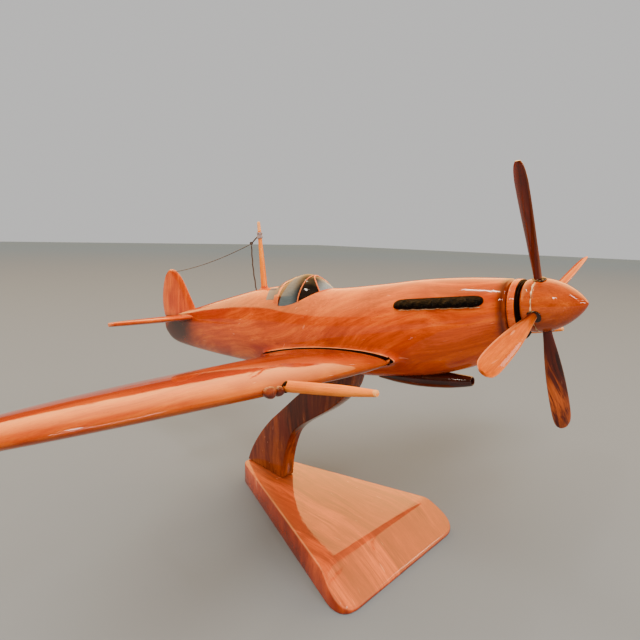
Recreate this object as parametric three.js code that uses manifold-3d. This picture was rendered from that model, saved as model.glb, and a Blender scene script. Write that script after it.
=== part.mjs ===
// Carved hardwood desk model of a single-engine, low-wing propeller fighter on a curved stand.
// Millimetres, +X towards the nose, +Y to port (the pilot's left), +Z up.
// The origin is the centre of the base's underside. The airframe is drawn in its own frame, with
// its origin where the propeller blades cross the shaft axis, and then placed on the stand.
import * as THREE from 'three';
import { mergeVertices } from 'three/addons/utils/BufferGeometryUtils.js';
import Module from 'manifold-3d';

const wasm = await Module();
wasm.setup();

// ---------------------------------------------------------------- driving dimensions
const DEG = Math.PI / 180;
const GAP = 0.3;                                 // clearance between touching pieces
const RUNNING = 0.1;                             // clearance of the propeller on its pin

// placing of the airframe over the stand
const HUB = { x: 107.5, z: 133 };                // where the shaft meets the blade plane
const PITCH = 8.9 * DEG;                         // the airframe sits nose up

// stand
const BASE = {
  rear: -60, front: 60, ridge: 43, thick: 13, frontThick: 2.2,
  rearHalf: 8.4, ridgeHalf: 42.3, rearRadius: 4, frontRadius: 13,
};
const ARM_HALF = 4.4;                            // half the arm's plank thickness
const PEG = { x: 12, radius: 1.9, foot: 74, top: 101 };
const SCREW = { places: [-48, -34], radius: 1.5, headRadius: 3, length: 25, headDepth: 2.2, recess: 1 };

// propeller
const PROP = { blades: 4, firstAngle: 17.7 * DEG, width: 7.4 };
const SPINNER = { tip: 14.9, radius: 9.7, seam: -0.9, rear: -4.5 };
const PIN = { radius: 1, rear: -34, headRadius: 2.4, headLength: 1.6 };
const WASHER = { radius: 3.2, thick: 0.9 };

// nose ring in front of the fuselage block
const RING = { front: -6, rear: -9.2, boreRadius: 1.5 };

// wing panels, from the root seam outwards
const WING = {
  root: 14.8, halfSpan: 173, chord: 77, leadingEdge: -54.2, frontShare: 0.24,
  thickRoot: 9.6, thickTip: 3, rootHeight: -21.4, dihedral: 1.6 * DEG,
  filletReach: 17, filletDepth: 30, noseSet: 2.3,
};
const STUB_HALF = WING.root - GAP;               // the fuselage's own stub ends here
const DOWEL = { radius: 1.2, into: 9, out: 14 };
const DOWEL_PLACES = [-78, -108];

// guns on the wing's leading edge
const CANNON = {
  y: 75, tip: -17.6, shoulder: -55.6, root: -64, tipZ: -17.6, rootZ: -19,
  rootRadius: 2, tipRadius: 0.95, tenon: 1.1,
};
const GUN_STUB = { y: 82, x: -55.2, radius: 2.2 };

// fittings on the spine
const MAST = { x: -157.6, foot: 6, top: 54.4, footRadius: 2.1, tipRadius: 0.85 };
const WIRE_RADIUS = 0.3;
const TIE = { z: 46.3, thick: 0.45, knotRadius: 0.9 };
const KNOT = new THREE.Vector3(-166.2, 0, 42.6);

// tail
const TAILPLANE = {
  root: 3.6, half: 51.5, z: -0.6, rootFront: -231, tipFront: -259, rear: -272.5, thick: 4.6, dowelX: -247,
};
const FIN = { thick: 5.4, dowels: [-256, -267] };

// ---------------------------------------------------------------- materials
const finish = (color, roughness, metalness = 0) =>
  new THREE.MeshStandardMaterial({ color, roughness, metalness });
const MAHOGANY = finish(0xb55a2a, 0.2);
const DARK_MAHOGANY = finish(0x7a3315, 0.25);
const BLADE_WOOD = finish(0x9c4a1e, 0.2);
const PALE_WOOD = finish(0xe0b070, 0.45);
const BLACK_LACQUER = finish(0x0d0d0e, 0.15);
const MAROON_LACQUER = finish(0x220a08, 0.15);
const STEEL = finish(0xb8bcc0, 0.35, 1);
const BRASS = finish(0xc9a24a, 0.35, 1);
const THREAD = finish(0x3a3034, 0.7);

// ---------------------------------------------------------------- solid helpers
function toSolid(geometry) {
  let bare = geometry.index ? geometry.toNonIndexed() : geometry.clone();
  bare.deleteAttribute('normal');
  bare.deleteAttribute('uv');
  bare = mergeVertices(bare, 1e-4);
  const mesh = new wasm.Mesh({
    numProp: 3,
    vertProperties: new Float32Array(bare.attributes.position.array),
    triVerts: new Uint32Array(bare.index.array),
  });
  return new wasm.Manifold(mesh);
}

function fromSolid(solid) {
  const mesh = solid.getMesh();
  const geometry = new THREE.BufferGeometry();
  geometry.setAttribute('position', new THREE.BufferAttribute(mesh.vertProperties, 3));
  geometry.setIndex(new THREE.BufferAttribute(mesh.triVerts, 1));
  return geometry;
}

function cut(body, ...tools) {
  return fromSolid(tools.reduce((left, tool) => left.subtract(toSolid(tool)), toSolid(body)));
}

function join(body, ...others) {
  return fromSolid(others.reduce((sum, other) => sum.add(toSolid(other)), toSolid(body)));
}

// A closed skin over rings of points, all rings with the same number of points.
function loft(rings) {
  const around = rings[0].length;
  const points = rings.flat();
  const centre = (ring) => ring.reduce((sum, p) => sum.add(p), new THREE.Vector3()).divideScalar(around);
  const firstCentre = points.push(centre(rings[0])) - 1;
  const lastCentre = points.push(centre(rings.at(-1))) - 1;
  const faces = [];
  for (let i = 0; i < rings.length - 1; i += 1) {
    for (let j = 0; j < around; j += 1) {
      const a = i * around + j;
      const b = i * around + ((j + 1) % around);
      faces.push(a, b, b + around, a, b + around, a + around);
    }
  }
  const lastRing = (rings.length - 1) * around;
  for (let j = 0; j < around; j += 1) {
    const next = (j + 1) % around;
    faces.push(firstCentre, next, j);
    faces.push(lastCentre, lastRing + j, lastRing + next);
  }
  return facingOut(points, faces);
}

// A mesh from points and faces, turned inside out if its volume comes out negative.
function facingOut(points, faces) {
  let volume = 0;
  for (let i = 0; i < faces.length; i += 3) {
    const [a, b, c] = [points[faces[i]], points[faces[i + 1]], points[faces[i + 2]]];
    volume += a.dot(new THREE.Vector3().crossVectors(b, c));
  }
  if (volume < 0) faces.reverse();
  const geometry = new THREE.BufferGeometry();
  const places = new THREE.Float32BufferAttribute(points.flatMap((p) => p.toArray()), 3);
  geometry.setAttribute('position', places);
  geometry.setIndex(faces);
  return geometry;
}

// A round bar or cone between two points.
function rod(from, to, fromRadius, toRadius = fromRadius, sides = 14) {
  const line = new THREE.Vector3().subVectors(to, from);
  const bar = new THREE.CylinderGeometry(toRadius, fromRadius, line.length(), sides);
  const up = new THREE.Vector3(0, 1, 0);
  const turn = new THREE.Quaternion().setFromUnitVectors(up, line.clone().normalize());
  bar.applyQuaternion(turn);
  bar.translate((from.x + to.x) / 2, (from.y + to.y) / 2, (from.z + to.z) / 2);
  return bar;
}

// A body turned about the X axis from [x, radius] pairs, which start and end on the axis.
function turned(profile, sides = 32) {
  const lathe = new THREE.LatheGeometry(profile.map(([x, r]) => new THREE.Vector2(r, x)), sides);
  lathe.rotateZ(-Math.PI / 2);
  return lathe;
}

// A round thread through the given points.
function tube(points, radius, steps, sides = 8) {
  const section = new THREE.Shape(Array.from({ length: sides }, (_, i) => {
    const angle = (2 * Math.PI * i) / sides;
    return new THREE.Vector2(radius * Math.cos(angle), radius * Math.sin(angle));
  }));
  const path = new THREE.CatmullRomCurve3(points);
  const options = { steps, bevelEnabled: false, extrudePath: path };
  return new THREE.ExtrudeGeometry(section, options);
}

// Smooth value at x between the listed [x, value] pairs, in order of falling x.
function along(pairs, x) {
  const last = pairs.length - 1;
  if (x >= pairs[0][0]) return pairs[0][1];
  if (x <= pairs[last][0]) return pairs[last][1];
  const i = pairs.findIndex(([px]) => px < x) - 1;
  const slope = (k) => {
    const a = pairs[Math.max(k - 1, 0)];
    const b = pairs[Math.min(k + 1, last)];
    return (b[1] - a[1]) / (b[0] - a[0]);
  };
  const [x0, y0] = pairs[i];
  const [x1, y1] = pairs[i + 1];
  const span = x1 - x0;
  const t = (x - x0) / span;
  const hermite = (2 * t ** 3 - 3 * t ** 2 + 1) * y0 + (-2 * t ** 3 + 3 * t ** 2) * y1;
  return hermite + (t ** 3 - 2 * t ** 2 + t) * span * slope(i) + (t ** 3 - t ** 2) * span * slope(i + 1);
}

const vec = (x, y, z) => new THREE.Vector3(x, y, z);

// ---------------------------------------------------------------- fuselage lines
const TOP_LINE = [[-6, 9.8], [-15, 10.8], [-30, 12], [-48, 12.5], [-72, 11.9], [-98, 11.8], [-118, 13.6],
  [-138, 15.6], [-158, 15], [-172, 13.8], [-207, 9.7], [-239, 5.6], [-268, 3.2], [-283, 2.2]];
const KEEL_LINE = [[-6, -12], [-15, -17.6], [-24, -22.6], [-38, -26.8], [-50, -29.2], [-73, -31],
  [-110, -31.6], [-150, -30.6], [-184, -28.6], [-225, -24.8], [-262, -20], [-276, -16.2], [-283, -10.5]];
const SIDE_LINE = [[-6, 10.2], [-15, 11.3], [-30, 12.7], [-60, 14], [-100, 14.4], [-135, 14], [-160, 12.8],
  [-200, 9.8], [-240, 6.4], [-270, 3.6], [-283, 2.2]];
const WAIST_LINE = [[-6, 0], [-24, -4.5], [-50, -8], [-110, -9.5], [-184, -8], [-283, -5]];
const FUSELAGE = { front: RING.rear - GAP, rear: -283, around: 26 };

const FUSELAGE_LINES = [TOP_LINE, KEEL_LINE, SIDE_LINE, WAIST_LINE];

function fuselageRing(x, around) {
  const [top, keel, side, waist] = FUSELAGE_LINES.map((line) => along(line, x));
  return Array.from({ length: around }, (_, i) => {
    const angle = (2 * Math.PI * i) / around;
    const rise = Math.sin(angle) > 0 ? top - waist : waist - keel;
    return vec(x, side * Math.cos(angle), waist + rise * Math.sin(angle));
  });
}

// Evenly spaced values from the front one to the rear one.
function stations(front, rear, count) {
  return Array.from({ length: count + 1 }, (_, i) => front + ((rear - front) * i) / count);
}

// ---------------------------------------------------------------- wing lines
// Half ellipses fore and aft of a straight main axis, with a concave fillet at the root's rear and
// the nose set back a little at the root. The flare is 1 at the root and 0 past the fillet.
function wingChord(y) {
  const reach = Math.min(Math.abs(y) / WING.halfSpan, 1);
  const share = Math.sqrt(Math.max(1 - reach * reach, 0));
  const axis = WING.leadingEdge - WING.frontShare * WING.chord;
  const flare = Math.max(1 - (Math.abs(y) - STUB_HALF) / WING.filletDepth, 0);
  const fillet = WING.filletReach * flare ** 2.2;
  return {
    flare,
    front: axis + WING.frontShare * WING.chord * share - WING.noseSet * flare ** 3,
    rear: axis - (1 - WING.frontShare) * WING.chord * share - fillet,
    thick: WING.thickTip + (WING.thickRoot - WING.thickTip) * share,
    height: WING.rootHeight + Math.max(Math.abs(y) - WING.root, 0) * Math.tan(WING.dihedral),
  };
}

// Airfoil ring at span y: rounded nose, fuller top, flatter underside, and a rear edge that is thin
// outboard and blunt at the root.
function wingRing(y, around = 24) {
  const { front, rear, thick, height, flare } = wingChord(y);
  const chord = front - rear;
  const half = around / 2;
  const power = 0.9 - 0.25 * flare;
  const peak = Math.sqrt(0.5 / (0.5 + power)) * (power / (0.5 + power)) ** power;
  const full = (1.04 - 0.18 * flare) / peak;
  return Array.from({ length: around }, (_, i) => {
    const over = i <= half;
    const turn = over ? i / half : (around - i) / half;
    const s = (1 - Math.cos(turn * Math.PI)) / 2;
    const bulge = full * Math.sqrt(s) * (1 - s) ** power + 0.11 * Math.sin(Math.PI * s);
    const side = over ? 0.56 : -0.44;
    return vec(front - s * chord, y, height + side * thick * bulge + (0.5 - s) * 0.6);
  });
}

function wingPanel(side) {
  const spans = [0, 0.05, 0.1, 0.17, 0.27, 0.4, 0.53, 0.65, 0.76, 0.85, 0.92, 0.965, 0.99];
  const rings = spans.map((s) => wingRing(side * (WING.root + s * (WING.halfSpan - WING.root))));
  return loft(rings);
}

// The fuselage's own stub, which runs through from one root seam to the other.
function rootStub() {
  const section = wingRing(WING.root);
  return loft([-STUB_HALF, 0, STUB_HALF].map((y) => section.map((p) => vec(p.x, y, p.z))));
}

// The four dowels that pin the wing panels to the stubs, two a side, along the panel's own slope.
function wingDowel(side, x, radius, extra = 0) {
  const z = WING.rootHeight + 1;
  const slope = Math.tan(WING.dihedral);
  const inner = WING.root - DOWEL.into - extra;
  const outer = WING.root + DOWEL.out + extra;
  const from = vec(x, side * inner, z - DOWEL.into * slope);
  return rod(from, vec(x, side * outer, z + DOWEL.out * slope), radius);
}

// ---------------------------------------------------------------- canopy
const HOOD_TOP = [[-100.8, 11.4], [-104, 13.6], [-108, 16.2], [-113, 18.9], [-118.5, 20.6], [-125, 20.3],
  [-131, 19.1], [-137.5, 17.3]];
const HOOD_SIDE = [[-100.8, 1.8], [-104, 4.8], [-108, 7.2], [-113, 9.2], [-118.5, 10.6], [-125, 11.4],
  [-131, 11.6], [-137.5, 11.2]];
const HOOD_FLOOR = 2;
const CANOPY = { front: -100.8, split: -117.6, gap: 0.5, rear: -137.5 };

function canopyBlock(front, rear, grow = 0, steps = 6) {
  return loft(stations(front + grow, rear - grow, steps).map((x) => {
    const inside = Math.min(Math.max(x, CANOPY.rear), CANOPY.front);
    const top = along(HOOD_TOP, inside) + grow;
    const side = along(HOOD_SIDE, inside) + grow;
    const floor = HOOD_FLOOR - grow;
    const arch = Array.from({ length: 15 }, (_, i) => {
      const angle = (Math.PI * i) / 14;
      return vec(x, side * Math.cos(angle), floor + (top - floor) * Math.sin(angle) ** 0.85);
    });
    return [...arch, vec(x, -side / 2, floor), vec(x, side / 2, floor)];
  }));
}

// ---------------------------------------------------------------- exhaust strips
const EXHAUST = { front: -17, rear: -56.4, z: 2.9, height: 4.4, depth: 2.2, lumps: 7 };

function exhaustStrip(side) {
  const steps = EXHAUST.lumps * 3;
  const rings = Array.from({ length: steps + 1 }, (_, i) => {
    const x = EXHAUST.front + ((EXHAUST.rear - EXHAUST.front) * i) / steps;
    const ends = Math.sqrt(Math.max(1 - ((2 * i) / steps - 1) ** 8, 0.12));
    const lump = 0.84 + 0.16 * Math.abs(Math.sin((Math.PI * EXHAUST.lumps * i) / steps));
    return Array.from({ length: 10 }, (__, j) => {
      const angle = (2 * Math.PI * j) / 10;
      const z = EXHAUST.z + (EXHAUST.height / 2) * lump * ends * Math.sin(angle);
      const proud = EXHAUST.depth * lump * ends * Math.max(Math.cos(angle), 0);
      return vec(x, side * (sideAt(x, z) + GAP + proud), z);
    });
  });
  return loft(rings);
}

// Half-width of the fuselage at station x and height z.
function sideAt(x, z) {
  const [top, keel, side, waist] = FUSELAGE_LINES.map((line) => along(line, x));
  const reach = z > waist ? (z - waist) / (top - waist) : (waist - z) / (waist - keel);
  return side * Math.sqrt(Math.max(1 - reach * reach, 0));
}

// ---------------------------------------------------------------- intake scoop
const SCOOP = [[-28.6, -30, 2.1, 2], [-33, -30.2, 2.9, 2.6], [-40, -30.4, 3.9, 3.3], [-52, -30.4, 4.8, 3.7],
  [-64, -30.2, 4.2, 3.2], [-75, -29.8, 2.2, 2.2]];
const SCOOP_BORE = { radius: 1.35, depth: 9 };

function scoopBody() {
  const rings = SCOOP.map(([x, z, halfWidth, halfHeight]) => Array.from({ length: 16 }, (_, i) => {
    const angle = (2 * Math.PI * i) / 16;
    return vec(x, halfWidth * Math.cos(angle), z + halfHeight * Math.sin(angle));
  }));
  return loft(rings);
}

// ---------------------------------------------------------------- tail
function tailplane(side, grow = 0) {
  const spans = [0, 0.12, 0.3, 0.5, 0.68, 0.82, 0.92, 0.98];
  const middle = TAILPLANE.rear + 6;
  const rings = spans.map((s, i) => {
    const inset = i === 0 ? grow : 0;
    const y = side * (TAILPLANE.root - inset + s * (TAILPLANE.half - TAILPLANE.root));
    const round = Math.sqrt(1 - s ** 4);
    const swept = TAILPLANE.rootFront + (TAILPLANE.tipFront - TAILPLANE.rootFront) * s;
    const front = middle + (swept - middle) * round + grow;
    const rear = middle + (TAILPLANE.rear - middle) * round - grow;
    const thick = TAILPLANE.thick * (1 - 0.45 * s) + 2 * grow;
    return flatRing(front, rear, thick).map(([x, offset]) => vec(x, y, TAILPLANE.z + offset));
  });
  return loft(rings);
}

// A thin rounded section between two stations, as pairs of x and the offset from its middle.
function flatRing(front, rear, thick, around = 16) {
  return Array.from({ length: around }, (_, i) => {
    const angle = (2 * Math.PI * i) / around;
    const offset = (thick / 2) * Math.sign(Math.sin(angle)) * Math.abs(Math.sin(angle)) ** 0.8;
    return [(front + rear) / 2 + ((front - rear) / 2) * Math.cos(angle), offset];
  });
}

// Height, leading edge and trailing edge of the one-piece fin and rudder.
const FIN_EDGES = [[1.5, -237.4, -284.4], [5, -238.8, -285.2], [10, -241.4, -285.8], [16, -245.2, -285.2],
  [22, -249, -283.4], [27, -252.6, -281], [31.5, -257, -277.6], [34.6, -261.8, -273.2], [36, -266, -269]];

function finBlade(grow = 0) {
  return loft(FIN_EDGES.map(([height, front, rear], i) => {
    const thick = FIN.thick * (1 - 0.075 * i) + 2 * grow;
    const z = i === 0 ? height - grow : height;
    return flatRing(front + grow, rear - grow, thick).map(([x, offset]) => vec(x, offset, z));
  }));
}

// ---------------------------------------------------------------- propeller
// A paddle blade along +Z: [radius, share of width, thickness over width, angle from the disc].
const BLADE = [[7.4, 0.34, 0.3, 62], [10, 0.4, 0.32, 62], [14, 0.5, 0.3, 60], [20, 0.69, 0.27, 56],
  [27, 0.87, 0.24, 51], [34, 0.98, 0.21, 47], [41, 1.02, 0.18, 44], [46.5, 0.97, 0.15, 42],
  [49.6, 0.78, 0.12, 40], [51.1, 0.42, 0.08, 40]];

function bladeSolid(grow = 0) {
  return loft(BLADE.map(([radius, width, thick, angle], k) => {
    const half = (PROP.width * width) / 2 + grow;
    const deep = (PROP.width * thick) / 2 + grow;
    const turn = angle * DEG;
    return Array.from({ length: 16 }, (_, i) => {
      const across = half * Math.cos((2 * Math.PI * i) / 16);
      const through = deep * Math.sin((2 * Math.PI * i) / 16);
      return vec(through * Math.cos(turn) - across * Math.sin(turn),
        across * Math.cos(turn) + through * Math.sin(turn), k === 0 ? radius - grow : radius);
    });
  }));
}

function bladeAt(index, grow) {
  const blade = bladeSolid(grow);
  blade.rotateX(PROP.firstAngle - (index * 2 * Math.PI) / PROP.blades);
  return blade;
}

function spinnerCone() {
  const back = SPINNER.seam + GAP;
  const length = SPINNER.tip - back;
  const profile = [[back, 0]];
  for (let i = 0; i <= 10; i += 1) {
    const t = i / 10;
    profile.push([back + length * t, SPINNER.radius * (1 - t ** 1.8) ** 0.76]);
  }
  const pocketEnd = back + PIN.headLength + 2 * GAP;
  const pocket = rod(vec(back - 1, 0, 0), vec(pocketEnd, 0, 0), PIN.headRadius + GAP);
  return cut(turned(profile), pocket, ...bladeSockets());
}

function spinnerPlate() {
  const profile = [[SPINNER.rear, 0], [SPINNER.rear, SPINNER.radius - 0.8],
    [SPINNER.rear + 1, SPINNER.radius - 0.1], [SPINNER.seam, SPINNER.radius], [SPINNER.seam, 0]];
  const bore = rod(vec(SPINNER.rear - 1, 0, 0), vec(SPINNER.seam + 1, 0, 0), PIN.radius + RUNNING);
  return cut(turned(profile), bore, ...bladeSockets());
}

// The headed pin that the propeller turns on: free in the back plate, fast in the nose.
function propellerPin() {
  const headBack = SPINNER.seam + GAP;
  const head = rod(vec(headBack, 0, 0), vec(headBack + PIN.headLength, 0, 0), PIN.headRadius);
  return join(head, rod(vec(PIN.rear, 0, 0), vec(headBack + 0.5, 0, 0), PIN.radius));
}

function propellerWasher() {
  const front = SPINNER.rear - GAP;
  const disc = rod(vec(front - WASHER.thick, 0, 0), vec(front, 0, 0), WASHER.radius);
  return cut(disc, rod(vec(front - 5, 0, 0), vec(front + 5, 0, 0), PIN.radius + GAP));
}

function bladeSockets() {
  return Array.from({ length: PROP.blades }, (_, i) => bladeAt(i, GAP));
}

// ---------------------------------------------------------------- aerial
const WIRE_END = vec(-263.4, 0, 33.7);

function aerialWire() {
  const sag = 2.2;
  const points = Array.from({ length: 9 }, (_, i) => {
    const t = 0.012 + 0.988 * (i / 8);
    return KNOT.clone().lerp(WIRE_END, t).add(vec(0, 0, -4 * sag * t * (1 - t)));
  });
  return tube(points, WIRE_RADIUS, 24);
}

const LEAD_IN = [vec(-166.4, 0, 41.3), vec(-166.8, 0, 34), vec(-166.7, 0, 26), vec(-166, 0, 19),
  vec(-165.3, 0, 11.4)];

// Thread wound round the mast, with the short bridle and the knot that the two wires leave from.
function mastTie() {
  const inner = mastRadiusAt(TIE.z) + GAP;
  const coil = new THREE.TorusGeometry(inner + TIE.thick, TIE.thick, 6, 12);
  const turns = [-1, 0, 1].map((step) => {
    const turn = coil.clone();
    turn.translate(MAST.x, 0, TIE.z + step * TIE.thick * 1.5);
    return turn;
  });
  const start = vec(MAST.x - inner - TIE.thick, 0, TIE.z);
  const bridle = rod(start, KNOT, TIE.thick * 0.9, TIE.thick * 0.9, 8);
  const knot = new THREE.IcosahedronGeometry(TIE.knotRadius, 1);
  knot.translate(KNOT.x + TIE.knotRadius, 0, KNOT.z + 0.4);
  return join(turns[0], turns[1], turns[2], bridle, knot);
}

function mastRadiusAt(z) {
  const share = (z - MAST.foot) / (MAST.top - MAST.foot);
  return MAST.footRadius + (MAST.tipRadius - MAST.footRadius) * share;
}

// ---------------------------------------------------------------- stand
// The base seen from above: a wedge with rounded corners, drawn port side then starboard side.
function baseBlock() {
  const { rear, front, rearHalf, rearRadius, frontRadius } = BASE;
  const flare = (BASE.ridgeHalf - rearHalf) / (BASE.ridge - rear);
  const frontHalf = rearHalf + flare * (front - rear);
  const outline = new THREE.Shape();
  outline.moveTo(rear, -rearHalf + rearRadius);
  outline.lineTo(rear, rearHalf - rearRadius);
  outline.quadraticCurveTo(rear, rearHalf, rear + rearRadius, rearHalf + flare * rearRadius);
  outline.lineTo(front - frontRadius, frontHalf - flare * frontRadius);
  outline.quadraticCurveTo(front, frontHalf, front, frontHalf - frontRadius);
  outline.lineTo(front, frontRadius - frontHalf);
  outline.quadraticCurveTo(front, -frontHalf, front - frontRadius, flare * frontRadius - frontHalf);
  outline.lineTo(rear + rearRadius, -rearHalf - flare * rearRadius);
  outline.quadraticCurveTo(rear, -rearHalf, rear, -rearHalf + rearRadius);
  const options = { depth: BASE.thick, bevelEnabled: false, curveSegments: 8 };
  const slab = new THREE.ExtrudeGeometry(outline, options);
  return cut(slab, slopeCutter(), ...SCREW.places.map((x) => screwSolid(x, GAP)));
}

// Everything above the front slope, across the whole width.
function slopeCutter() {
  const over = 20;
  const drop = (BASE.thick - BASE.frontThick) / (BASE.front - BASE.ridge);
  const wedge = new THREE.Shape();
  wedge.moveTo(BASE.ridge, BASE.thick);
  wedge.lineTo(BASE.front + 1, BASE.frontThick - drop);
  wedge.lineTo(BASE.front + 1, BASE.thick + over);
  wedge.lineTo(BASE.ridge, BASE.thick + over);
  return upright(wedge, 60);
}

// A shape drawn as x and z, given the same half thickness to each side of the centre plane.
function upright(shape, half) {
  const solid = new THREE.ExtrudeGeometry(shape, { depth: 2 * half, bevelEnabled: false });
  solid.rotateX(Math.PI / 2);
  solid.translate(0, half, 0);
  return solid;
}

const ARM_REAR = [[-60.2, BASE.thick + GAP], [-57.4, 20], [-53, 27.8], [-46, 37.5], [-38, 46.5],
  [-28.5, 55.4], [-18.5, 64.8], [-10, 72.6], [-2, 82], [1, 95]];
const ARM_FRONT = [[25.6, 95], [24.6, 86], [21.5, 79], [15, 71.6], [7, 64.8], [-4, 57], [-13, 50.4],
  [-19.5, 43.5], [-23.4, 34], [-25.8, 24], [-26.8, BASE.thick + GAP]];

function armPlank() {
  const curve = (points) => {
    const spline = new THREE.SplineCurve(points.map(([x, z]) => new THREE.Vector2(x, z)));
    return spline.getPoints(20);
  };
  const plank = upright(new THREE.Shape([...curve(ARM_REAR), ...curve(ARM_FRONT)]), ARM_HALF);
  const belly = intoModel(hull());
  belly.translate(0, 0, -GAP);
  return cut(plank, belly, pegAt(PEG.radius + GAP, PEG.foot - GAP, PEG.top),
    ...SCREW.places.map((x) => screwSolid(x, GAP)));
}

// A wood screw driven up through the base into the arm, its head sunk in the underside.
function screwSolid(x, grow = 0) {
  const start = grow > 0 ? -1 : SCREW.recess;
  const headTop = SCREW.recess + SCREW.headDepth + grow;
  const head = rod(vec(x, 0, start), vec(x, 0, headTop), SCREW.headRadius + grow);
  const shank = rod(vec(x, 0, SCREW.recess + 1), vec(x, 0, SCREW.length + grow), SCREW.radius + grow);
  return join(head, shank);
}

// ---------------------------------------------------------------- frames
const SIDES = [['starboard', -1], ['port', 1]];

function intoModel(geometry) {
  const placed = geometry.clone();
  placed.rotateY(-PITCH);
  placed.translate(HUB.x, 0, HUB.z);
  return placed;
}

function intoAirframe(geometry) {
  const placed = geometry.clone();
  placed.translate(-HUB.x, 0, -HUB.z);
  placed.rotateY(PITCH);
  return placed;
}

// ---------------------------------------------------------------- pins and dowels
const pegAt = (radius, foot, top) => rod(vec(PEG.x, 0, foot), vec(PEG.x, 0, top), radius);

const finDowel = (x, radius, extra = 0) => rod(vec(x, 0, -8 - extra), vec(x, 0, 11 + extra), radius);

const crossDowel = (radius, extra = 0) => rod(vec(TAILPLANE.dowelX, -17 - extra, TAILPLANE.z),
  vec(TAILPLANE.dowelX, 17 + extra, TAILPLANE.z), radius);

const mastStick = (grow = 0) => rod(vec(MAST.x, 0, MAST.foot - grow), vec(MAST.x, 0, MAST.top),
  MAST.footRadius + grow, MAST.tipRadius + grow);

// A tapered dowel with a thinner tenon that goes into the wing's leading edge.
function cannon(side, grow = 0) {
  const at = (x, z) => vec(x, side * CANNON.y, z);
  const shoulder = at(CANNON.shoulder - grow, CANNON.rootZ);
  const tip = at(CANNON.tip, CANNON.tipZ);
  const barrel = rod(shoulder, tip, CANNON.rootRadius + grow, CANNON.tipRadius + grow);
  const tenonEnd = at(CANNON.root - grow, CANNON.rootZ);
  const tenon = rod(tenonEnd, at(CANNON.shoulder + 1, CANNON.rootZ), CANNON.tenon + grow);
  return join(barrel, tenon);
}

const wireHole = () => rod(WIRE_END.clone().add(vec(-0.6, 0, 0)), WIRE_END.clone().add(vec(8, 0, 0.2)),
  WIRE_RADIUS + GAP, WIRE_RADIUS + GAP, 10);

const leadInHole = () => rod(vec(-165.2, 0, 10.8), vec(-166, 0, 19),
  WIRE_RADIUS + GAP, WIRE_RADIUS + GAP, 10);

function gunStub(side, grow = 0) {
  const bead = new THREE.IcosahedronGeometry(GUN_STUB.radius + grow, 1);
  bead.scale(1.15, 0.9, 1);
  bead.translate(GUN_STUB.x, side * GUN_STUB.y, wingChord(GUN_STUB.y).height);
  return bead;
}

// ---------------------------------------------------------------- carved parts
function hull() {
  const places = stations(FUSELAGE.front, FUSELAGE.rear, 28);
  return loft(places.map((x) => fuselageRing(x, FUSELAGE.around)));
}

function fuselage() {
  const tailFlat = new THREE.BoxGeometry(22, 12, 20);
  tailFlat.translate(-279, 0, FIN_EDGES[0][0] - GAP + 10);
  const tools = [
    rod(vec(0, 0, 0), vec(PIN.rear - 1, 0, 0), PIN.radius + GAP),
    canopyBlock(CANOPY.front, CANOPY.rear, GAP, 12),
    mastStick(GAP),
    leadInHole(),
    tailFlat,
    finBlade(GAP),
    ...FIN.dowels.map((x) => finDowel(x, DOWEL.radius + GAP, GAP)),
    crossDowel(DOWEL.radius + GAP, GAP),
    intoAirframe(pegAt(PEG.radius + GAP, PEG.foot, PEG.top + GAP)),
  ];
  for (const [, side] of SIDES) {
    for (const x of DOWEL_PLACES) tools.push(wingDowel(side, x, DOWEL.radius + GAP, GAP));
    tools.push(tailplane(side, GAP));
  }
  return cut(join(hull(), rootStub()), ...tools);
}

function noseRing() {
  const rings = stations(RING.front, RING.rear, 6).map((x, i) => {
    const groove = i === 0 || i === 6 ? 0.96 : 1;
    return fuselageRing(x, FUSELAGE.around).map((p) => vec(p.x, p.y * groove, p.z * groove));
  });
  return cut(loft(rings), rod(vec(0, 0, 0), vec(-20, 0, 0), RING.boreRadius));
}

function wing(side) {
  const tools = DOWEL_PLACES.map((x) => wingDowel(side, x, DOWEL.radius + GAP, GAP));
  return cut(wingPanel(side), ...tools, cannon(side, GAP), gunStub(side, 2 * GAP));
}

function scoop() {
  const belly = hull();
  belly.translate(0, 0, -GAP);
  const [x, z] = SCOOP[0];
  const mouth = rod(vec(x + 1, 0, z), vec(x - SCOOP_BORE.depth, 0, z), SCOOP_BORE.radius);
  return cut(scoopBody(), belly, mouth);
}

const fin = () => cut(finBlade(), wireHole(),
  ...FIN.dowels.map((x) => finDowel(x, DOWEL.radius + GAP, GAP)));

const armPeg = () => pegAt(PEG.radius, PEG.foot, PEG.top);

// ---------------------------------------------------------------- assembly
const model = new THREE.Group();
const airframe = new THREE.Group();
airframe.position.set(HUB.x, 0, HUB.z);
airframe.rotation.y = -PITCH;
model.add(airframe);

function add(group, name, geometry, material) {
  const mesh = new THREE.Mesh(geometry, material);
  mesh.name = name;
  group.add(mesh);
}

add(model, 'stand_base', baseBlock(), MAHOGANY);
add(model, 'stand_arm', armPlank(), DARK_MAHOGANY);
add(model, 'stand_peg', armPeg(), PALE_WOOD);
SCREW.places.forEach((x, i) => add(model, `stand_screw_${i + 1}`, screwSolid(x), STEEL));

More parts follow.
